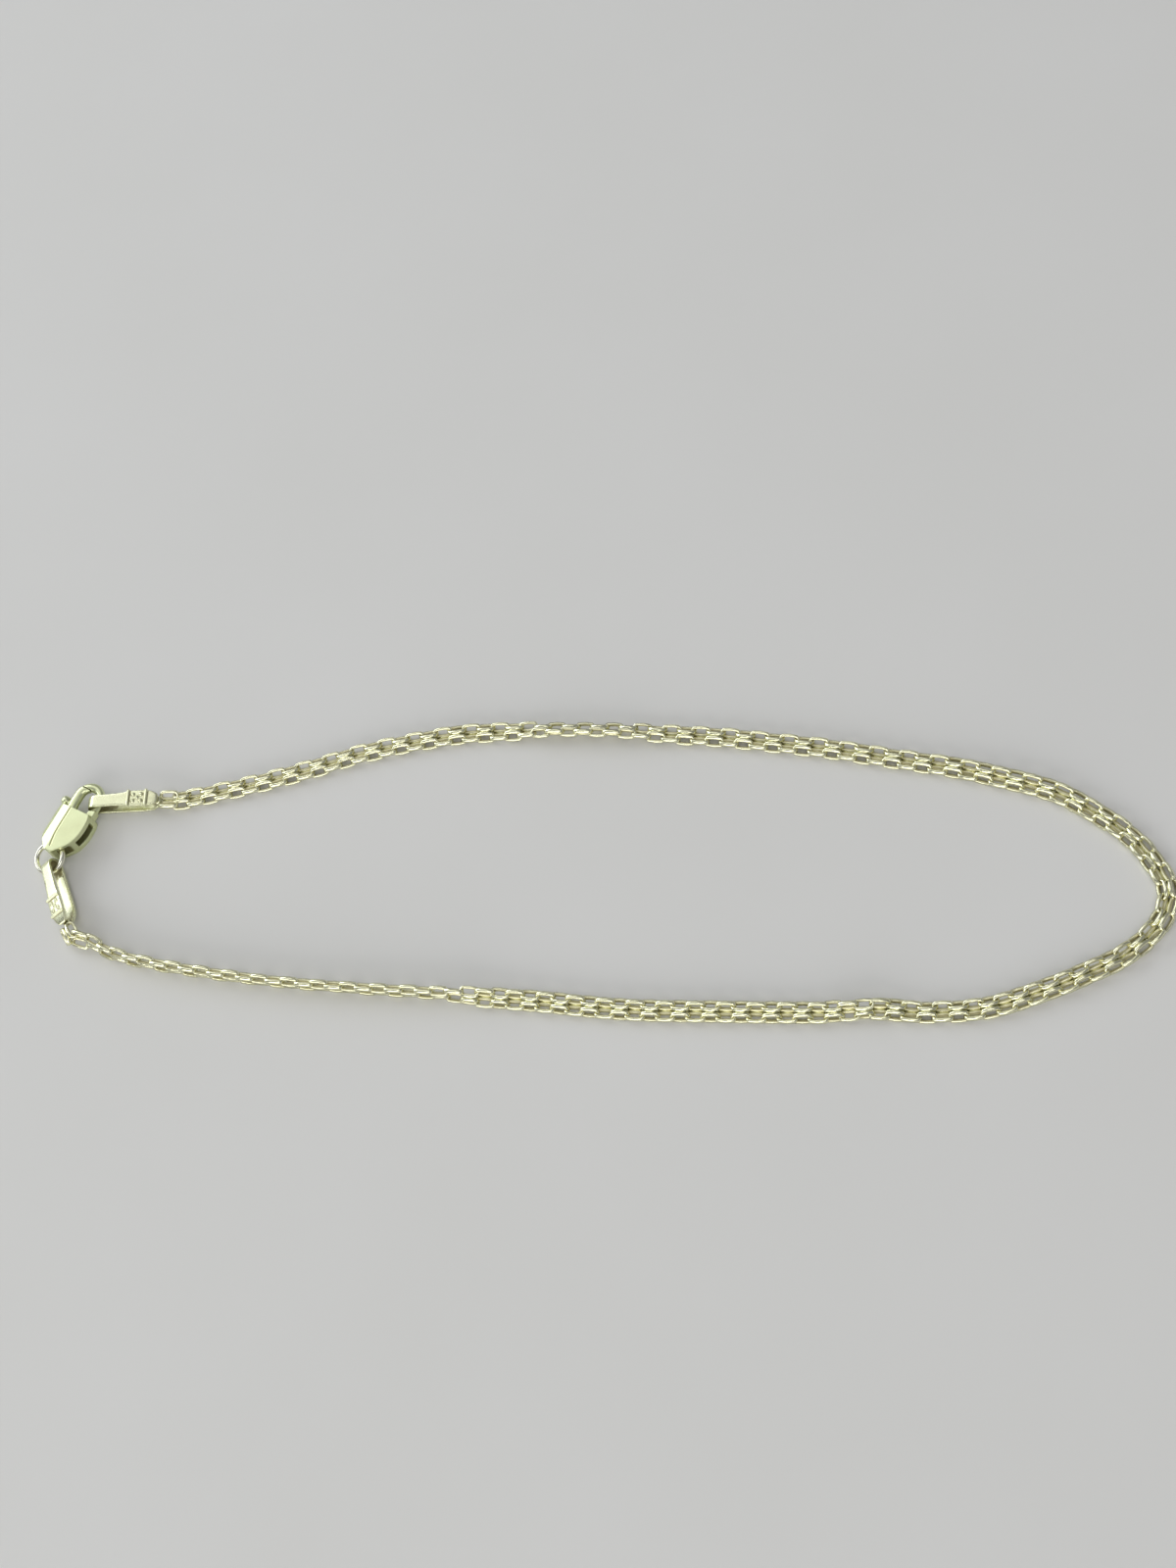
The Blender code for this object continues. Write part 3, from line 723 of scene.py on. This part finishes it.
    def score(self, piece: bpy.types.Object) -> None:
        """Presses the crease between the panel and the spine into both faces, and lowers its relief so that
        painted shade darkens it.
        """
        back = self.axes.matrix().inverted()
        line = smooth_through(self.crease_line, 8)
        middle = self.thickness / 2
        for vertex, mark in zip(piece.data.vertices, piece.data.attributes[RELIEF].data):
            local = back @ (vertex.co / MM)
            rise = local.z - middle
            if abs(rise) < self.face_share * middle or not line[0][0] < local.x < line[-1][0]:
                continue
            (u, v), (far, side) = next((a, b) for a, b in zip(line, line[1:]) if local.x <= b[0])
            gap = local.y - v - (side - v) * (local.x - u) / (far - u)
            dent = math.exp(-(gap / self.crease_width) ** 2)
            vertex.co.z -= math.copysign(self.crease_depth * dent * MM, rise)
            # Painted shade along the crease, through a lower relief
            mark.value = max(0.0, mark.value - LEVEL * dent)

    def dress(self) -> bpy.types.Object:
        """Builds the body and gives it its finish."""
        piece = self.build()
        mark_relief(piece, gain=2.6, passes=3)
        self.score(piece)
        return dress(piece, CLASP_GOLD, Carrier.BRACELET, "clasp_body")


@dataclass
class ClaspLever:
    """The spring lever: a hub on the rivet, an arm that carries on the claw's curve, and a thumb nub."""

    axes: ClaspFrame
    claw: Claw
    pivot: tuple[float, float] = (3.45, 0.55)
    middle: float = 0.95
    hub: float = 0.48
    hub_height: float = 0.66
    wire: float = 0.86
    root_wire: float = 1.00
    height: float = 0.78
    bore: float = 0.21
    bore_depth: float = 2.0
    nub: float = 0.41
    nub_place: tuple[float, float] = (4.52, 1.60)
    nub_flatness: float = 0.95
    stalk: tuple[float, float] = (0.95, 0.30)
    stalk_radii: tuple[float, float] = (0.22, 0.26)
    tip_angle: float = 24.0
    bend: tuple[tuple[float, float], ...] = ((1.0, 1.0), (0.62, 1.02), (0.34, 0.72), (0.0, 0.0))
    heel: tuple[tuple[float, float], ...] = ((0.0, 0.0), (-0.7, -0.16), (-1.35, -0.26))
    heel_radii: tuple[float, float, float] = (0.22, 0.20, 0.16)
    beyond: float = 3.0
    grain: float = 0.032

    def build(self) -> bpy.types.Object:
        """Builds the lever in the clasp's axes and puts it in its place.

        Returns:
            The finished lever.
        """
        pivot = Vector((*self.pivot, self.middle))
        crown = self.claw.arc(self.tip_angle, 90.0, 16, self.middle)
        top = crown[-1] - pivot
        bend = [(top.x * u, top.y * v, 0) for u, v in self.bend]
        arm = crown[:-1] + [pivot + Vector(p) for p in smooth_through(bend, 8)]
        last = len(arm) - 1
        sections = [(self.height / 2, (self.wire + (self.root_wire - self.wire) * i / last) / 2)
                    for i in range(len(arm))]
        wire = solid("arm_wire", add_sweep, arm, sections, [Vector((0, 0, 1))] * len(arm), sides=18)
        tip = solid("arm_tip", add_block, (self.claw.cut - self.claw.gap, -self.beyond, -self.beyond),
                    (self.claw.cut + self.beyond, self.beyond, self.beyond))
        combine(wire, tip, Join.CUT)

        lever = solid("lever_hub", add_cylinder, pivot, self.hub, self.hub_height, 40)
        heel = [pivot + Vector((u, v, 0)) for u, v in self.heel]
        spring = solid("heel_wire", add_tube, heel, self.heel_radii)
        place = Vector((*self.nub_place, self.middle))
        thumb = solid("thumb_nub", add_ball, place, (self.nub, self.nub, self.nub * self.nub_flatness))
        stalk = solid("nub_stalk", add_tube, [place, pivot + Vector((*self.stalk, 0))], self.stalk_radii)
        for part in (wire, spring, thumb, stalk):
            combine(lever, part, Join.ADD)
        bore = solid("lever_bore", add_cylinder, pivot, self.bore, self.bore_depth, 32)
        combine(lever, bore, Join.CUT)
        fuse(lever, self.grain, passes=3)
        piece = finished(lever, "lever_casting", self.axes.matrix())
        drop(wire, tip, spring, thumb, stalk, bore)
        return piece

    def dress(self) -> bpy.types.Object:
        """Builds the lever and gives it its finish."""
        piece = self.build()
        mark_relief(piece, gain=2.6, passes=3)
        return dress(piece, CLASP_GOLD, Carrier.LEVER, "clasp_lever")


@dataclass
class JumpRing:
    """The soldered ring between the clasp's eye and the second tag, and that tag's place in it."""

    axes: ClaspFrame
    radius: float = 1.22
    wire: float = 0.43
    lean: tuple[float, float, float] = (-0.1313, -0.1524, 0.9796)
    place: tuple[float, float, float] = (-0.37, -0.024, 0.967)
    seam: float = 0.035
    seam_turn: float = 2.2
    seam_width: float = 0.07
    hang_turn: float = -67.1
    hang_in: float = 0.165
    hang_drop: float = 0.030
    turns: int = 72

    def centre(self) -> Vector:
        """The ring's centre in the bracelet's axes."""
        return self.axes.point(*self.place)

    def hang(self) -> Vector:
        """Where the second tag's fold hangs, in the bracelet's axes."""
        turn = math.radians(self.hang_turn)
        reach = self.radius - self.hang_in
        return self.centre() + Vector((reach * math.cos(turn), reach * math.sin(turn), -self.hang_drop))

    def build(self) -> bpy.types.Object:
        """Spins the wire round into a ring and raises the soldered seam a little.

        Returns:
            The finished ring.
        """
        bm = bmesh.new()
        bmesh.ops.create_circle(bm, segments=18, radius=self.wire / 2)
        bmesh.ops.rotate(bm, verts=bm.verts, matrix=Matrix.Rotation(math.radians(90), 3, "X"))
        bmesh.ops.translate(bm, vec=(self.radius, 0, 0), verts=bm.verts)
        bmesh.ops.spin(bm, geom=bm.verts[:] + bm.edges[:], cent=(0, 0, 0), axis=(0, 0, 1),
                       angle=math.tau, steps=self.turns, use_merge=True)
        for vertex in bm.verts:
            angle = math.atan2(vertex.co.y, vertex.co.x)
            core = Vector((math.cos(angle), math.sin(angle), 0)) * self.radius
            bead = math.exp(-((angle - self.seam_turn) / self.seam_width) ** 2)
            swell = 1 + self.seam * bead / (self.wire / 2)
            vertex.co = core + (vertex.co - core) * swell
        ring = loose_object(bm, "jump_ring_wire")
        turn = Vector(self.lean).to_track_quat("Z", "Y").to_matrix().to_4x4()
        return finished(ring, "soldered_ring", Matrix.Translation(self.centre()) @ turn)

    def dress(self) -> bpy.types.Object:
        """Builds the ring and gives it its finish."""
        piece = self.build()
        mark_relief(piece, gain=1.2, passes=2)
        return dress(piece, RING_GOLD, Carrier.BRACELET, "jump_ring")


@dataclass
class EndTag:
    """A strip folded round the claw or the ring, with two raised bars and plain bosses on its face.

    The points of the two leaves are shares of the length, of the fold's half height and of the width. The
    bars and the rows of bosses are placed by their share of the length.
    """

    name: str
    node: str
    place: Vector
    turn: tuple[float, float, float]
    thickness: float = 0.25
    width: float = 1.05
    bore: float = 1.00
    length: float = 5.40
    bar_width: float = 0.26
    bar_relief: float = 0.14
    bars: tuple[float, float] = (0.55, 0.83)
    bar_overhang: float = 0.6
    bar_profile: tuple[tuple[float, float], ...] = (
        (-1.0, 0.45), (-0.96, 0.75), (-0.88, 1.0), (-0.5, 1.0), (0.0, 1.0), (0.5, 1.0), (0.88, 1.0),
        (0.96, 0.75), (1.0, 0.45))
    boss: float = 0.15
    boss_height: float = 0.11
    boss_rows: tuple[tuple[float, tuple[float, ...]], ...] = (
        (0.625, (-0.42, 0.42)), (0.69, (0.0,)), (0.755, (-0.42, 0.42)))
    end_taper: tuple[tuple[float, float], ...] = ((0.80, 0.45), (0.96, 0.80))
    chain_gap: float = 0.10
    solder: tuple[float, float, float] = (0.30, 0.36, 0.20)
    solder_lift: float = 0.03
    grain: float = 0.032
    upper: tuple[tuple[float, float, float], ...] = (
        (0.15, 1.04, 1.00), (0.32, 1.09, 1.02), (0.46, 1.12, 1.10), (0.54, 1.13, 1.28), (0.68, 1.13, 1.30),
        (0.82, 1.06, 1.30), (0.90, 0.94, 1.16), (0.96, 0.80, 0.92), (1.00, 0.66, 0.60))
    lower: tuple[tuple[float, float, float], ...] = (
        (0.15, 1.05, 1.00), (0.32, 1.12, 1.00), (0.50, 1.18, 1.00), (0.68, 1.20, 1.02), (0.80, 1.12, 1.02),
        (0.88, 0.94, 0.98), (0.94, 0.66, 0.88), (0.98, 0.46, 0.74))

    def matrix(self) -> Matrix:
        """The matrix from the tag's axes, X along its leaves, to the bracelet's."""
        angles = [math.radians(angle) for angle in self.turn]
        return Matrix.Translation(self.place) @ Euler(angles).to_matrix().to_4x4()

    def end(self) -> tuple[Vector, Vector]:
        """Where the chain starts just past the leaves, and its direction there."""
        along = (self.matrix().to_3x3() @ Vector((1, 0, 0))).normalized()
        return self.place + along * (self.length + self.chain_gap + self.thickness / 2), along

    def leaf(self, shares: Sequence[tuple[float, float, float]],
             spread: float) -> list[tuple[float, float, float]]:
        """A leaf's middle line as X, Z and half width, from its shares of length, spread and width."""
        return [(x * self.length, z * spread, w * self.width / 2) for x, z, w in shares]

    def stations(self) -> list[tuple[float, float, float]]:
        """The strip's middle line as X, Z and half width, from the upper leaf's end to the lower's."""
        spread = (self.bore + self.thickness) / 2
        upper = self.leaf(self.upper, spread)
        lower = self.leaf(self.lower, -spread)
        fold = []
        for i in range(13):
            angle = math.radians(90.0 + 15.0 * i)
            fold.append((spread * math.cos(angle), spread * math.sin(angle), self.width / 2))
        return smooth_through(list(reversed(upper)) + fold + lower, 4)

    def face(self, share: float) -> tuple[Vector, Vector, float]:
        """A place on the upper leaf's middle line: the point, the direction out of it and the half width."""
        rows = smooth_through(self.leaf(self.upper, (self.bore + self.thickness) / 2), 12)
        near = min(range(1, len(rows) - 1), key=lambda i: abs(rows[i][0] - share * self.length))
        slope = math.atan2(rows[near + 1][1] - rows[near - 1][1], rows[near + 1][0] - rows[near - 1][0])
        out = Vector((-math.sin(slope), 0, math.cos(slope)))
        return Vector((rows[near][0], 0, rows[near][1])), out, rows[near][2]

    def build(self) -> bpy.types.Object:
        """Builds the strip, its bars, its bosses and the solder that holds the chain.

        Returns:
            The finished tag.
        """
        bm = bmesh.new()
        rows = self.stations()
        path = [Vector((x, 0, z)) for x, z, _ in rows]
        halves = [(half, self.thickness / 2) for _, _, half in rows]
        for i, (wide, thick) in enumerate(self.end_taper):
            for k in (i, -1 - i):
                halves[k] = (halves[k][0] * wide, halves[k][1] * thick)
        add_sweep(bm, path, halves, [Vector((0, 1, 0))] * len(path), corner=0.34, sides=28)
        for share in self.bars:
            middle, out, half = self.face(share)
            along = Vector((out.z, 0, -out.x))
            core = middle + out * (self.thickness / 2 - self.bar_width / 2 + self.bar_relief)
            reach = half + self.bar_relief * self.bar_overhang
            bar = [core + Vector((0, reach * end, 0)) for end, _ in self.bar_profile]
            section = [(self.bar_width / 2 * size,) * 2 for _, size in self.bar_profile]
            add_sweep(bm, bar, section, [along] * len(bar), corner=0.8, sides=14)
        for share, sides in self.boss_rows:
            middle, out, half = self.face(share)
            top = middle + out * (self.thickness / 2)
            for side in sides:
                add_ball(bm, top + Vector((0, side * half, 0)), (self.boss, self.boss, self.boss_height))
        add_ball(bm, Vector((self.length - self.chain_gap, 0, self.solder_lift)), self.solder)
        strip = loose_object(bm, self.name + "_strip")
        fuse(strip, self.grain, passes=2)
        return finished(strip, self.name, self.matrix())

    def dress(self) -> bpy.types.Object:
        """Builds the tag and gives it its finish."""
        strip = self.build()
        mark_relief(strip, gain=4.5, passes=2)
        return dress(strip, TAG_GOLD, Carrier.BRACELET, self.node)


# The chain


@dataclass
class ChainElement:
    """Two oval rings, soldered side by side along one rail into a V.

    The wire is thin in the ring's plane and broad across it. The outer rail bulges and spreads a little,
    and the inner one is thickened by a fillet of solder.
    """

    thin: float = 0.22
    broad: float = 0.36
    length: float = 1.64
    rails: float = 0.55
    tilt: float = 38.0
    solder: float = 0.200
    bulge: float = 0.03
    spread: float = 0.04
    fillet: float = 0.14
    corner: float = 0.5
    arch: float = 0.8
    edge_relief: float = 0.22
    turns: int = 16
    sides: int = 6

    def half_width(self) -> float:
        """How far the outer rails' middles lie from the chain's middle."""
        return self.solder + self.rails * math.cos(math.radians(self.tilt))

    def half_height(self) -> float:
        """How far the rails' middles lie over or under the chain's middle."""
        return self.rails * math.sin(math.radians(self.tilt)) / 2

    def rest_height(self, roll: float) -> float:
        """The height of the chain's middle when it lies on the table with a roll in degrees."""
        angle = math.radians(roll)
        return (self.half_width() * abs(math.sin(angle)) + self.half_height() * abs(math.cos(angle))
                + (self.thin + self.broad) * math.sqrt(0.5) / 2)

    def ring(self) -> bmesh.types.BMesh:
        """One oval ring, flat and centred, with its inner side given a low relief, so that painted shade
        darkens it.
        """
        bend = self.rails / 2
        straight = self.length - self.thin - self.rails
        bm = bmesh.new()
        relief = bm.verts.layers.float.new(RELIEF)
        bmesh.ops.create_circle(bm, segments=self.sides, radius=1.0)
        for vertex in bm.verts:
            broad, thin = squared(vertex.co.x, self.corner), squared(vertex.co.y, self.corner)
            vertex.co = (thin * self.thin / 2, 0, broad * self.broad / 2)
        bmesh.ops.translate(bm, vec=(bend, 0, 0), verts=bm.verts)
        bmesh.ops.spin(bm, geom=bm.verts[:] + bm.edges[:], cent=(0, 0, 0), axis=(0, 0, 1),
                       angle=math.tau, steps=self.turns, use_merge=True)
        for vertex in bm.verts:
            outward = (vertex.co.xy.length - bend) / (self.thin / 2)
            # The inner side, facing the ring's hole, gets a low relief and so painted shade; the outer side
            # a raised one
            vertex[relief] = LEVEL + self.edge_relief * outward
            arch = max(0.0, 1.0 - abs(vertex.co.x) / (bend * self.arch))
            outer = max(0.0, outward)
            if vertex.co.y > 0:
                vertex.co.y += self.bulge * arch + self.spread * outer
            else:
                vertex.co.y -= self.fillet * outer * min(1.0, 2.0 * arch)
            if abs(vertex.co.x) > 0.001:
                vertex.co.x += math.copysign(straight / 2, vertex.co.x)
        bmesh.ops.recalc_face_normals(bm, faces=bm.faces)
        return bm

    def mesh(self) -> bpy.types.Mesh:
        """The element as a V along X, with its shared rail low.

        Returns:
            The mesh of both rings.
        """
        bm = self.ring()
        bmesh.ops.translate(bm, vec=(0, self.rails / 2, 0), verts=bm.verts)
        bmesh.ops.rotate(bm, verts=bm.verts, matrix=Matrix.Rotation(math.radians(self.tilt), 3, "X"))
        bmesh.ops.translate(bm, vec=(0, self.solder, -self.half_height()), verts=bm.verts)
        other = bmesh.ops.duplicate(bm, geom=bm.verts[:] + bm.edges[:] + bm.faces[:])["geom"]
        turned = [v for v in other if isinstance(v, bmesh.types.BMVert)]
        bmesh.ops.rotate(bm, verts=turned, matrix=Matrix.Rotation(math.pi, 3, "Z"))
        mesh = bpy.data.meshes.new("chain_element")
        bm.to_mesh(mesh)
        bm.free()
        return mesh


@dataclass
class BismarckChain:
    """The two-row chain, from the first tag's end to the second's, as one mesh of linked elements.

    The pitches are distances between elements at shares of the chain's length. The route's points are X, Y,
    the height over the chain's rest on the table, and the chain's roll in degrees.
    """

    first: EndTag
    last: EndTag
    element: ChainElement
    lead: float = 0.60
    stub: float = 0.8
    drop: float = 0.06
    floor_gap: float = 0.002
    roll_play: float = 2.5
    yaw_play: float = 1.2
    seed: int = 7
    pitches: tuple[tuple[float, float], ...] = (
        (0.00, 1.18), (0.33, 1.18), (0.42, 1.22), (0.50, 1.25), (0.57, 1.14), (0.70, 1.15), (0.80, 1.20),
        (0.90, 1.25), (1.00, 1.25))
    route: tuple[tuple[float, float, float, float], ...] = (
        (-33.4, 5.35, 0.10, 0), (-31.3, 5.8, 0, 0), (-26.8, 6.9, 0, 0), (-22.3, 8.2, 0, 0),
        (-18.4, 9.5, 0, 0), (-13.8, 10.6, 0, 0), (-9.4, 11.3, 0, 5), (-4.9, 11.5, 0, -12),
        (-2.0, 11.5, 0, -38), (3.0, 11.4, 0, -38), (6.6, 11.2, 0, -10), (11.3, 10.9, 0, 0),
        (14.9, 10.5, 0, 0), (19.7, 9.9, 0, 0), (24.5, 9.1, 0, 0), (29.2, 8.3, 0, 8), (32.9, 7.4, 0, 20),
        (37.0, 6.2, 0, 20), (39.9, 4.6, 0, 12), (42.4, 2.8, 0, 0), (44.3, 0.5, 0, 0), (45.3, -1.8, 0, 0),
        (44.6, -4.3, 0, 0), (42.4, -6.6, 0, -8), (39.4, -8.3, 0, -20), (36.3, -9.7, 0, -20),
        (32.5, -11.0, 0, -12), (28.2, -11.4, 0, 0), (25.2, -11.3, 0, -20),
        (23.4, -11.45, 0, -50), (21.6, -11.6, 0, -34), (20.0, -11.7, 0, -22), (13.1, -11.8, 0, -24),
        (5.8, -11.8, 0, -24), (-1.4, -11.3, 0, -26), (-6.0, -11.1, 0, -46), (-8.7, -10.9, 0, -86),
        (-16.2, -10.6, 0, -98), (-23.7, -10.1, 0, -97), (-31.2, -9.2, 0, -91), (-35.9, -8.3, 0, -83),
        (-38.3, -7.3, 0.10, -70))

    def line(self) -> list[tuple[float, float, float, float]]:
        """The chain's middle line in small steps: X, Y, height over its rest, and roll."""
        start, start_along = self.first.end()
        stop, stop_along = self.last.end()
        ends = []
        for place, along, roll in ((start, start_along, 0.0), (stop, stop_along, -self.last.turn[0])):
            near = place + along * self.stub
            ends.append([(place.x, place.y, place.z - self.element.rest_height(roll), roll),
                         (near.x, near.y, near.z - self.drop - self.element.rest_height(roll), roll)])
        route = [(x + LOOP_PLACE.x, y + LOOP_PLACE.y, lift, roll) for x, y, lift, roll in self.route]
        return smooth_through(ends[0] + route + ends[1][::-1], 24)

    def centres(self) -> list[tuple[Vector, Vector, float]]:
        """Where each element lies.

        Returns:
            For each element its middle, the direction of the chain there and its roll in degrees.
        """
        rows = self.line()
        points = [Vector((x, y, self.element.rest_height(roll) + max(lift, 0.0)))
                  for x, y, lift, roll in rows]
        run = [0.0]
        for a, b in zip(points, points[1:]):
            run.append(run[-1] + (b - a).length)
        total = run[-1]
        marks = [self.lead]
        while marks[-1] < total - self.lead:
            marks.append(marks[-1] + self.pitch(marks[-1] / total))
        scale = (total - 2 * self.lead) / (marks[-1] - self.lead)
        marks = [self.lead + (mark - self.lead) * scale for mark in marks]
        logger.info("chain: %.1f mm, %d elements", total, len(marks))
        found = []
        k = 0
        for mark in marks:
            while k < len(run) - 2 and run[k + 1] < mark:
                k += 1
            share = (mark - run[k]) / (run[k + 1] - run[k])

            # The direction is taken over a few points, so that it changes smoothly
            along = (points[min(k + 3, len(points) - 1)] - points[max(k - 2, 0)]).normalized()
            roll = rows[k][3] + (rows[k + 1][3] - rows[k][3]) * share
            found.append((points[k].lerp(points[k + 1], share), along, roll))
        return found

    def pitch(self, share: float) -> float:
        """The distance to the next element at a share of the chain's length."""
        for (a, near), (b, far) in zip(self.pitches, self.pitches[1:]):
            if share <= b:
                return near + (far - near) * (share - a) / (b - a)
        return self.pitches[-1][1]

    def build(self) -> bpy.types.Object:
        """Lays the elements along the route, each second one turned over.

        Returns:
            The finished chain.
        """
        chance = random.Random(self.seed)
        element = self.element.mesh()
        bm = bmesh.new()
        for i, (middle, along, roll) in enumerate(self.centres()):
            roll += chance.uniform(-self.roll_play, self.roll_play)
            yaw = math.radians(chance.uniform(-self.yaw_play, self.yaw_play))
            along = Matrix.Rotation(yaw, 3, "Z") @ along
            side = Vector((0, 0, 1)).cross(along).normalized()
            up = along.cross(side)
            basis = Matrix((along, side, up)).transposed().to_4x4()
            facing = Facing.LOW if i % 2 == 0 else Facing.HIGH
            turn = Matrix.Rotation(math.radians(roll) + facing.value, 4, "X")
            count = len(bm.verts)
            bm.from_mesh(element)
            bm.verts.ensure_lookup_table()
            laid = bm.verts[count:]
            bmesh.ops.transform(bm, matrix=Matrix.Translation(middle) @ basis @ turn, verts=laid)
            lowest = min(vertex.co.z for vertex in laid)
            if lowest < self.floor_gap:
                bmesh.ops.translate(bm, vec=(0, 0, self.floor_gap - lowest), verts=laid)
        bpy.data.meshes.remove(element)
        return finished(loose_object(bm, "chain_links"), "linked_chain", Matrix.Identity(4))

    def dress(self) -> bpy.types.Object:
        """Builds the chain and gives it its finish."""
        return dress(self.build(), CHAIN_GOLD, Carrier.BRACELET, "chain")


# The studio


@dataclass
class SoftBox:
    """A soft lamp that shines at the middle of the bracelet, with its place and size in metres."""

    name: str
    place: tuple[float, float, float]
    size: tuple[float, float]
    power: float
    colour: tuple[float, float, float]

    def hang(self) -> None:
        """Hangs the lamp at its place, turned to the bracelet."""
        light = bpy.data.lights.new(self.name, "AREA")
        light.shape = "RECTANGLE"
        light.size, light.size_y = self.size
        light.energy = self.power
        light.color = self.colour
        lamp = bpy.data.objects.new(self.name, light)
        lamp.location = self.place
        lamp.rotation_euler = (-lamp.location).to_track_quat("-Z", "Y").to_euler()
        bpy.context.scene.collection.objects.link(lamp)


@dataclass
class Studio:
    """The pale table, the lamps, the surroundings and the camera.

    The camera's aim and distance and the table's drop are in millimetres. The table's size and the height
    over which the room's light falls off are in metres.
    """

    azimuth: float = 30.0
    elevation: float = 62.0
    distance: float = 185.0
    aim: tuple[float, float, float] = (0.43, 7.05, 0.40)
    lens: float = 54.0
    table_size: float = 1.8
    table_drop: float = 0.01
    table_tones: tuple[tuple[float, float, float], ...] = ((0.75, 0.74, 0.71), (0.79, 0.78, 0.76))
    table_roughness: float = 0.80
    table_sheen: float = 0.20
    cloud_scale: float = 40.0
    room_colour: tuple[float, float, float] = (0.94, 0.96, 1.0)
    horizon_strength: float = 0.36
    overhead_strength: float = 0.24
    horizon_height: float = 0.30
    lamps: tuple[SoftBox, ...] = (
        SoftBox("window", (-0.60, 0.26, 0.34), (0.80, 0.32), 2.3, (0.90, 0.95, 1.0)),
        SoftBox("ceiling", (-0.22, 0.34, 0.80), (0.75, 0.70), 1.2, (1.0, 1.0, 0.98)),
        SoftBox("front", (-0.18, -0.67, 0.27), (0.80, 0.42), 2.5, (1.0, 1.0, 0.98)),
        SoftBox("overhead", (0.24, -0.40, 0.80), (0.50, 0.50), 1.2, (1.0, 0.99, 0.98)))

    def table(self) -> None:
        """Lays the table under the bracelet, as stage."""
        bm = bmesh.new()
        bmesh.ops.create_grid(bm, x_segments=8, y_segments=8, size=self.table_size / 2 / MM)
        bmesh.ops.translate(bm, vec=(0, 0, -self.table_drop), verts=bm.verts)
        floor = finished(loose_object(bm, "table_top"), "table_floor", Matrix.Identity(4))
        made = bpy.data.materials.new("pale_table")
        made.use_nodes = True
        nodes = Nodes(made.node_tree)
        shader = made.node_tree.nodes["Principled BSDF"]
        shader.inputs["Roughness"].default_value = self.table_roughness
        shader.inputs["Specular IOR Level"].default_value = self.table_sheen
        where = nodes.add("ShaderNodeTexCoord").outputs["Object"]
        mixed = nodes.add("ShaderNodeMix", data_type="RGBA")
        for name, tone in zip("AB", self.table_tones):
            mixed.inputs[name].default_value = (*tone, 1.0)
        nodes.link(nodes.noise(where, self.cloud_scale, 4.0), mixed.inputs["Factor"])
        nodes.link(mixed.outputs["Result"], shader.inputs["Base Color"])
        floor.data.materials.append(made)

    def surroundings(self) -> None:
        """Sets the light of the room, which is stronger from the sides than from overhead."""
        world = bpy.data.worlds.new("room")
        world.use_nodes = True
        back = world.node_tree.nodes["Background"]
        back.inputs["Color"].default_value = (*self.room_colour, 1.0)
        nodes = Nodes(world.node_tree)
        split = nodes.add("ShaderNodeSeparateXYZ")
        nodes.link(nodes.add("ShaderNodeTexCoord").outputs["Object"], split.inputs["Vector"])
        strength = nodes.spread(split.outputs["Z"], 0.0, self.horizon_height, self.horizon_strength,
                                self.overhead_strength)
        nodes.link(strength, back.inputs["Strength"])
        bpy.context.scene.world = world
        bpy.context.scene.view_settings.view_transform = "Standard"

    def camera(self) -> None:
        """Sets the camera at the photograph's angle, with its upright edge along the table's depth."""
        turn, rise = math.radians(self.azimuth), math.radians(self.elevation)
        back = Vector((math.sin(turn) * math.cos(rise), -math.cos(turn) * math.cos(rise), math.sin(rise)))
        up = Vector((0, back.z, -back.y)).normalized()
        right = up.cross(back)
        data = bpy.data.cameras.new("view")
        data.lens = self.lens
        data.sensor_width = 36.0
        data.clip_start = 0.005
        view = bpy.data.objects.new("view", data)
        view.matrix_world = Matrix.Translation((Vector(self.aim) + back * self.distance) * MM) @ Matrix(
            (right, up, back)).transposed().to_4x4()
        bpy.context.scene.collection.objects.link(view)
        bpy.context.scene.camera = view

    def dress(self) -> None:
        """Sets the whole studio up."""
        self.table()
        self.surroundings()
        for lamp in self.lamps:
            lamp.hang()
        self.camera()


def main() -> None:
    """Builds the bracelet piece by piece, then the studio."""
    logging.basicConfig(level=logging.INFO, format="%(message)s")
    axes = ClaspFrame()
    claw = Claw()
    ring = JumpRing(axes)
    upper_tag = EndTag("claw_tag", "end_tag_clasp", claw.seat(axes, CLAW_TAG_TURN[2]), CLAW_TAG_TURN)
    lower_tag = EndTag("ring_tag", "end_tag_ring", ring.hang(), RING_TAG_TURN)
    chain = BismarckChain(upper_tag, lower_tag, ChainElement())

    paint_hollow_shade({
        ClaspBody(axes, claw).dress(): CLASP_GOLD.hollow,
        ClaspLever(axes, claw).dress(): CLASP_GOLD.hollow,
        ring.dress(): RING_GOLD.hollow,
        upper_tag.dress(): TAG_GOLD.hollow,
        lower_tag.dress(): TAG_GOLD.hollow,
        chain.dress(): CHAIN_GOLD.hollow})
    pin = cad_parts["clasp_pin"]
    pin.data.materials.clear()
    pin.data.materials.append(PIN_GOLD.material())
    Studio().dress()


if __name__ == "__main__":
    main()
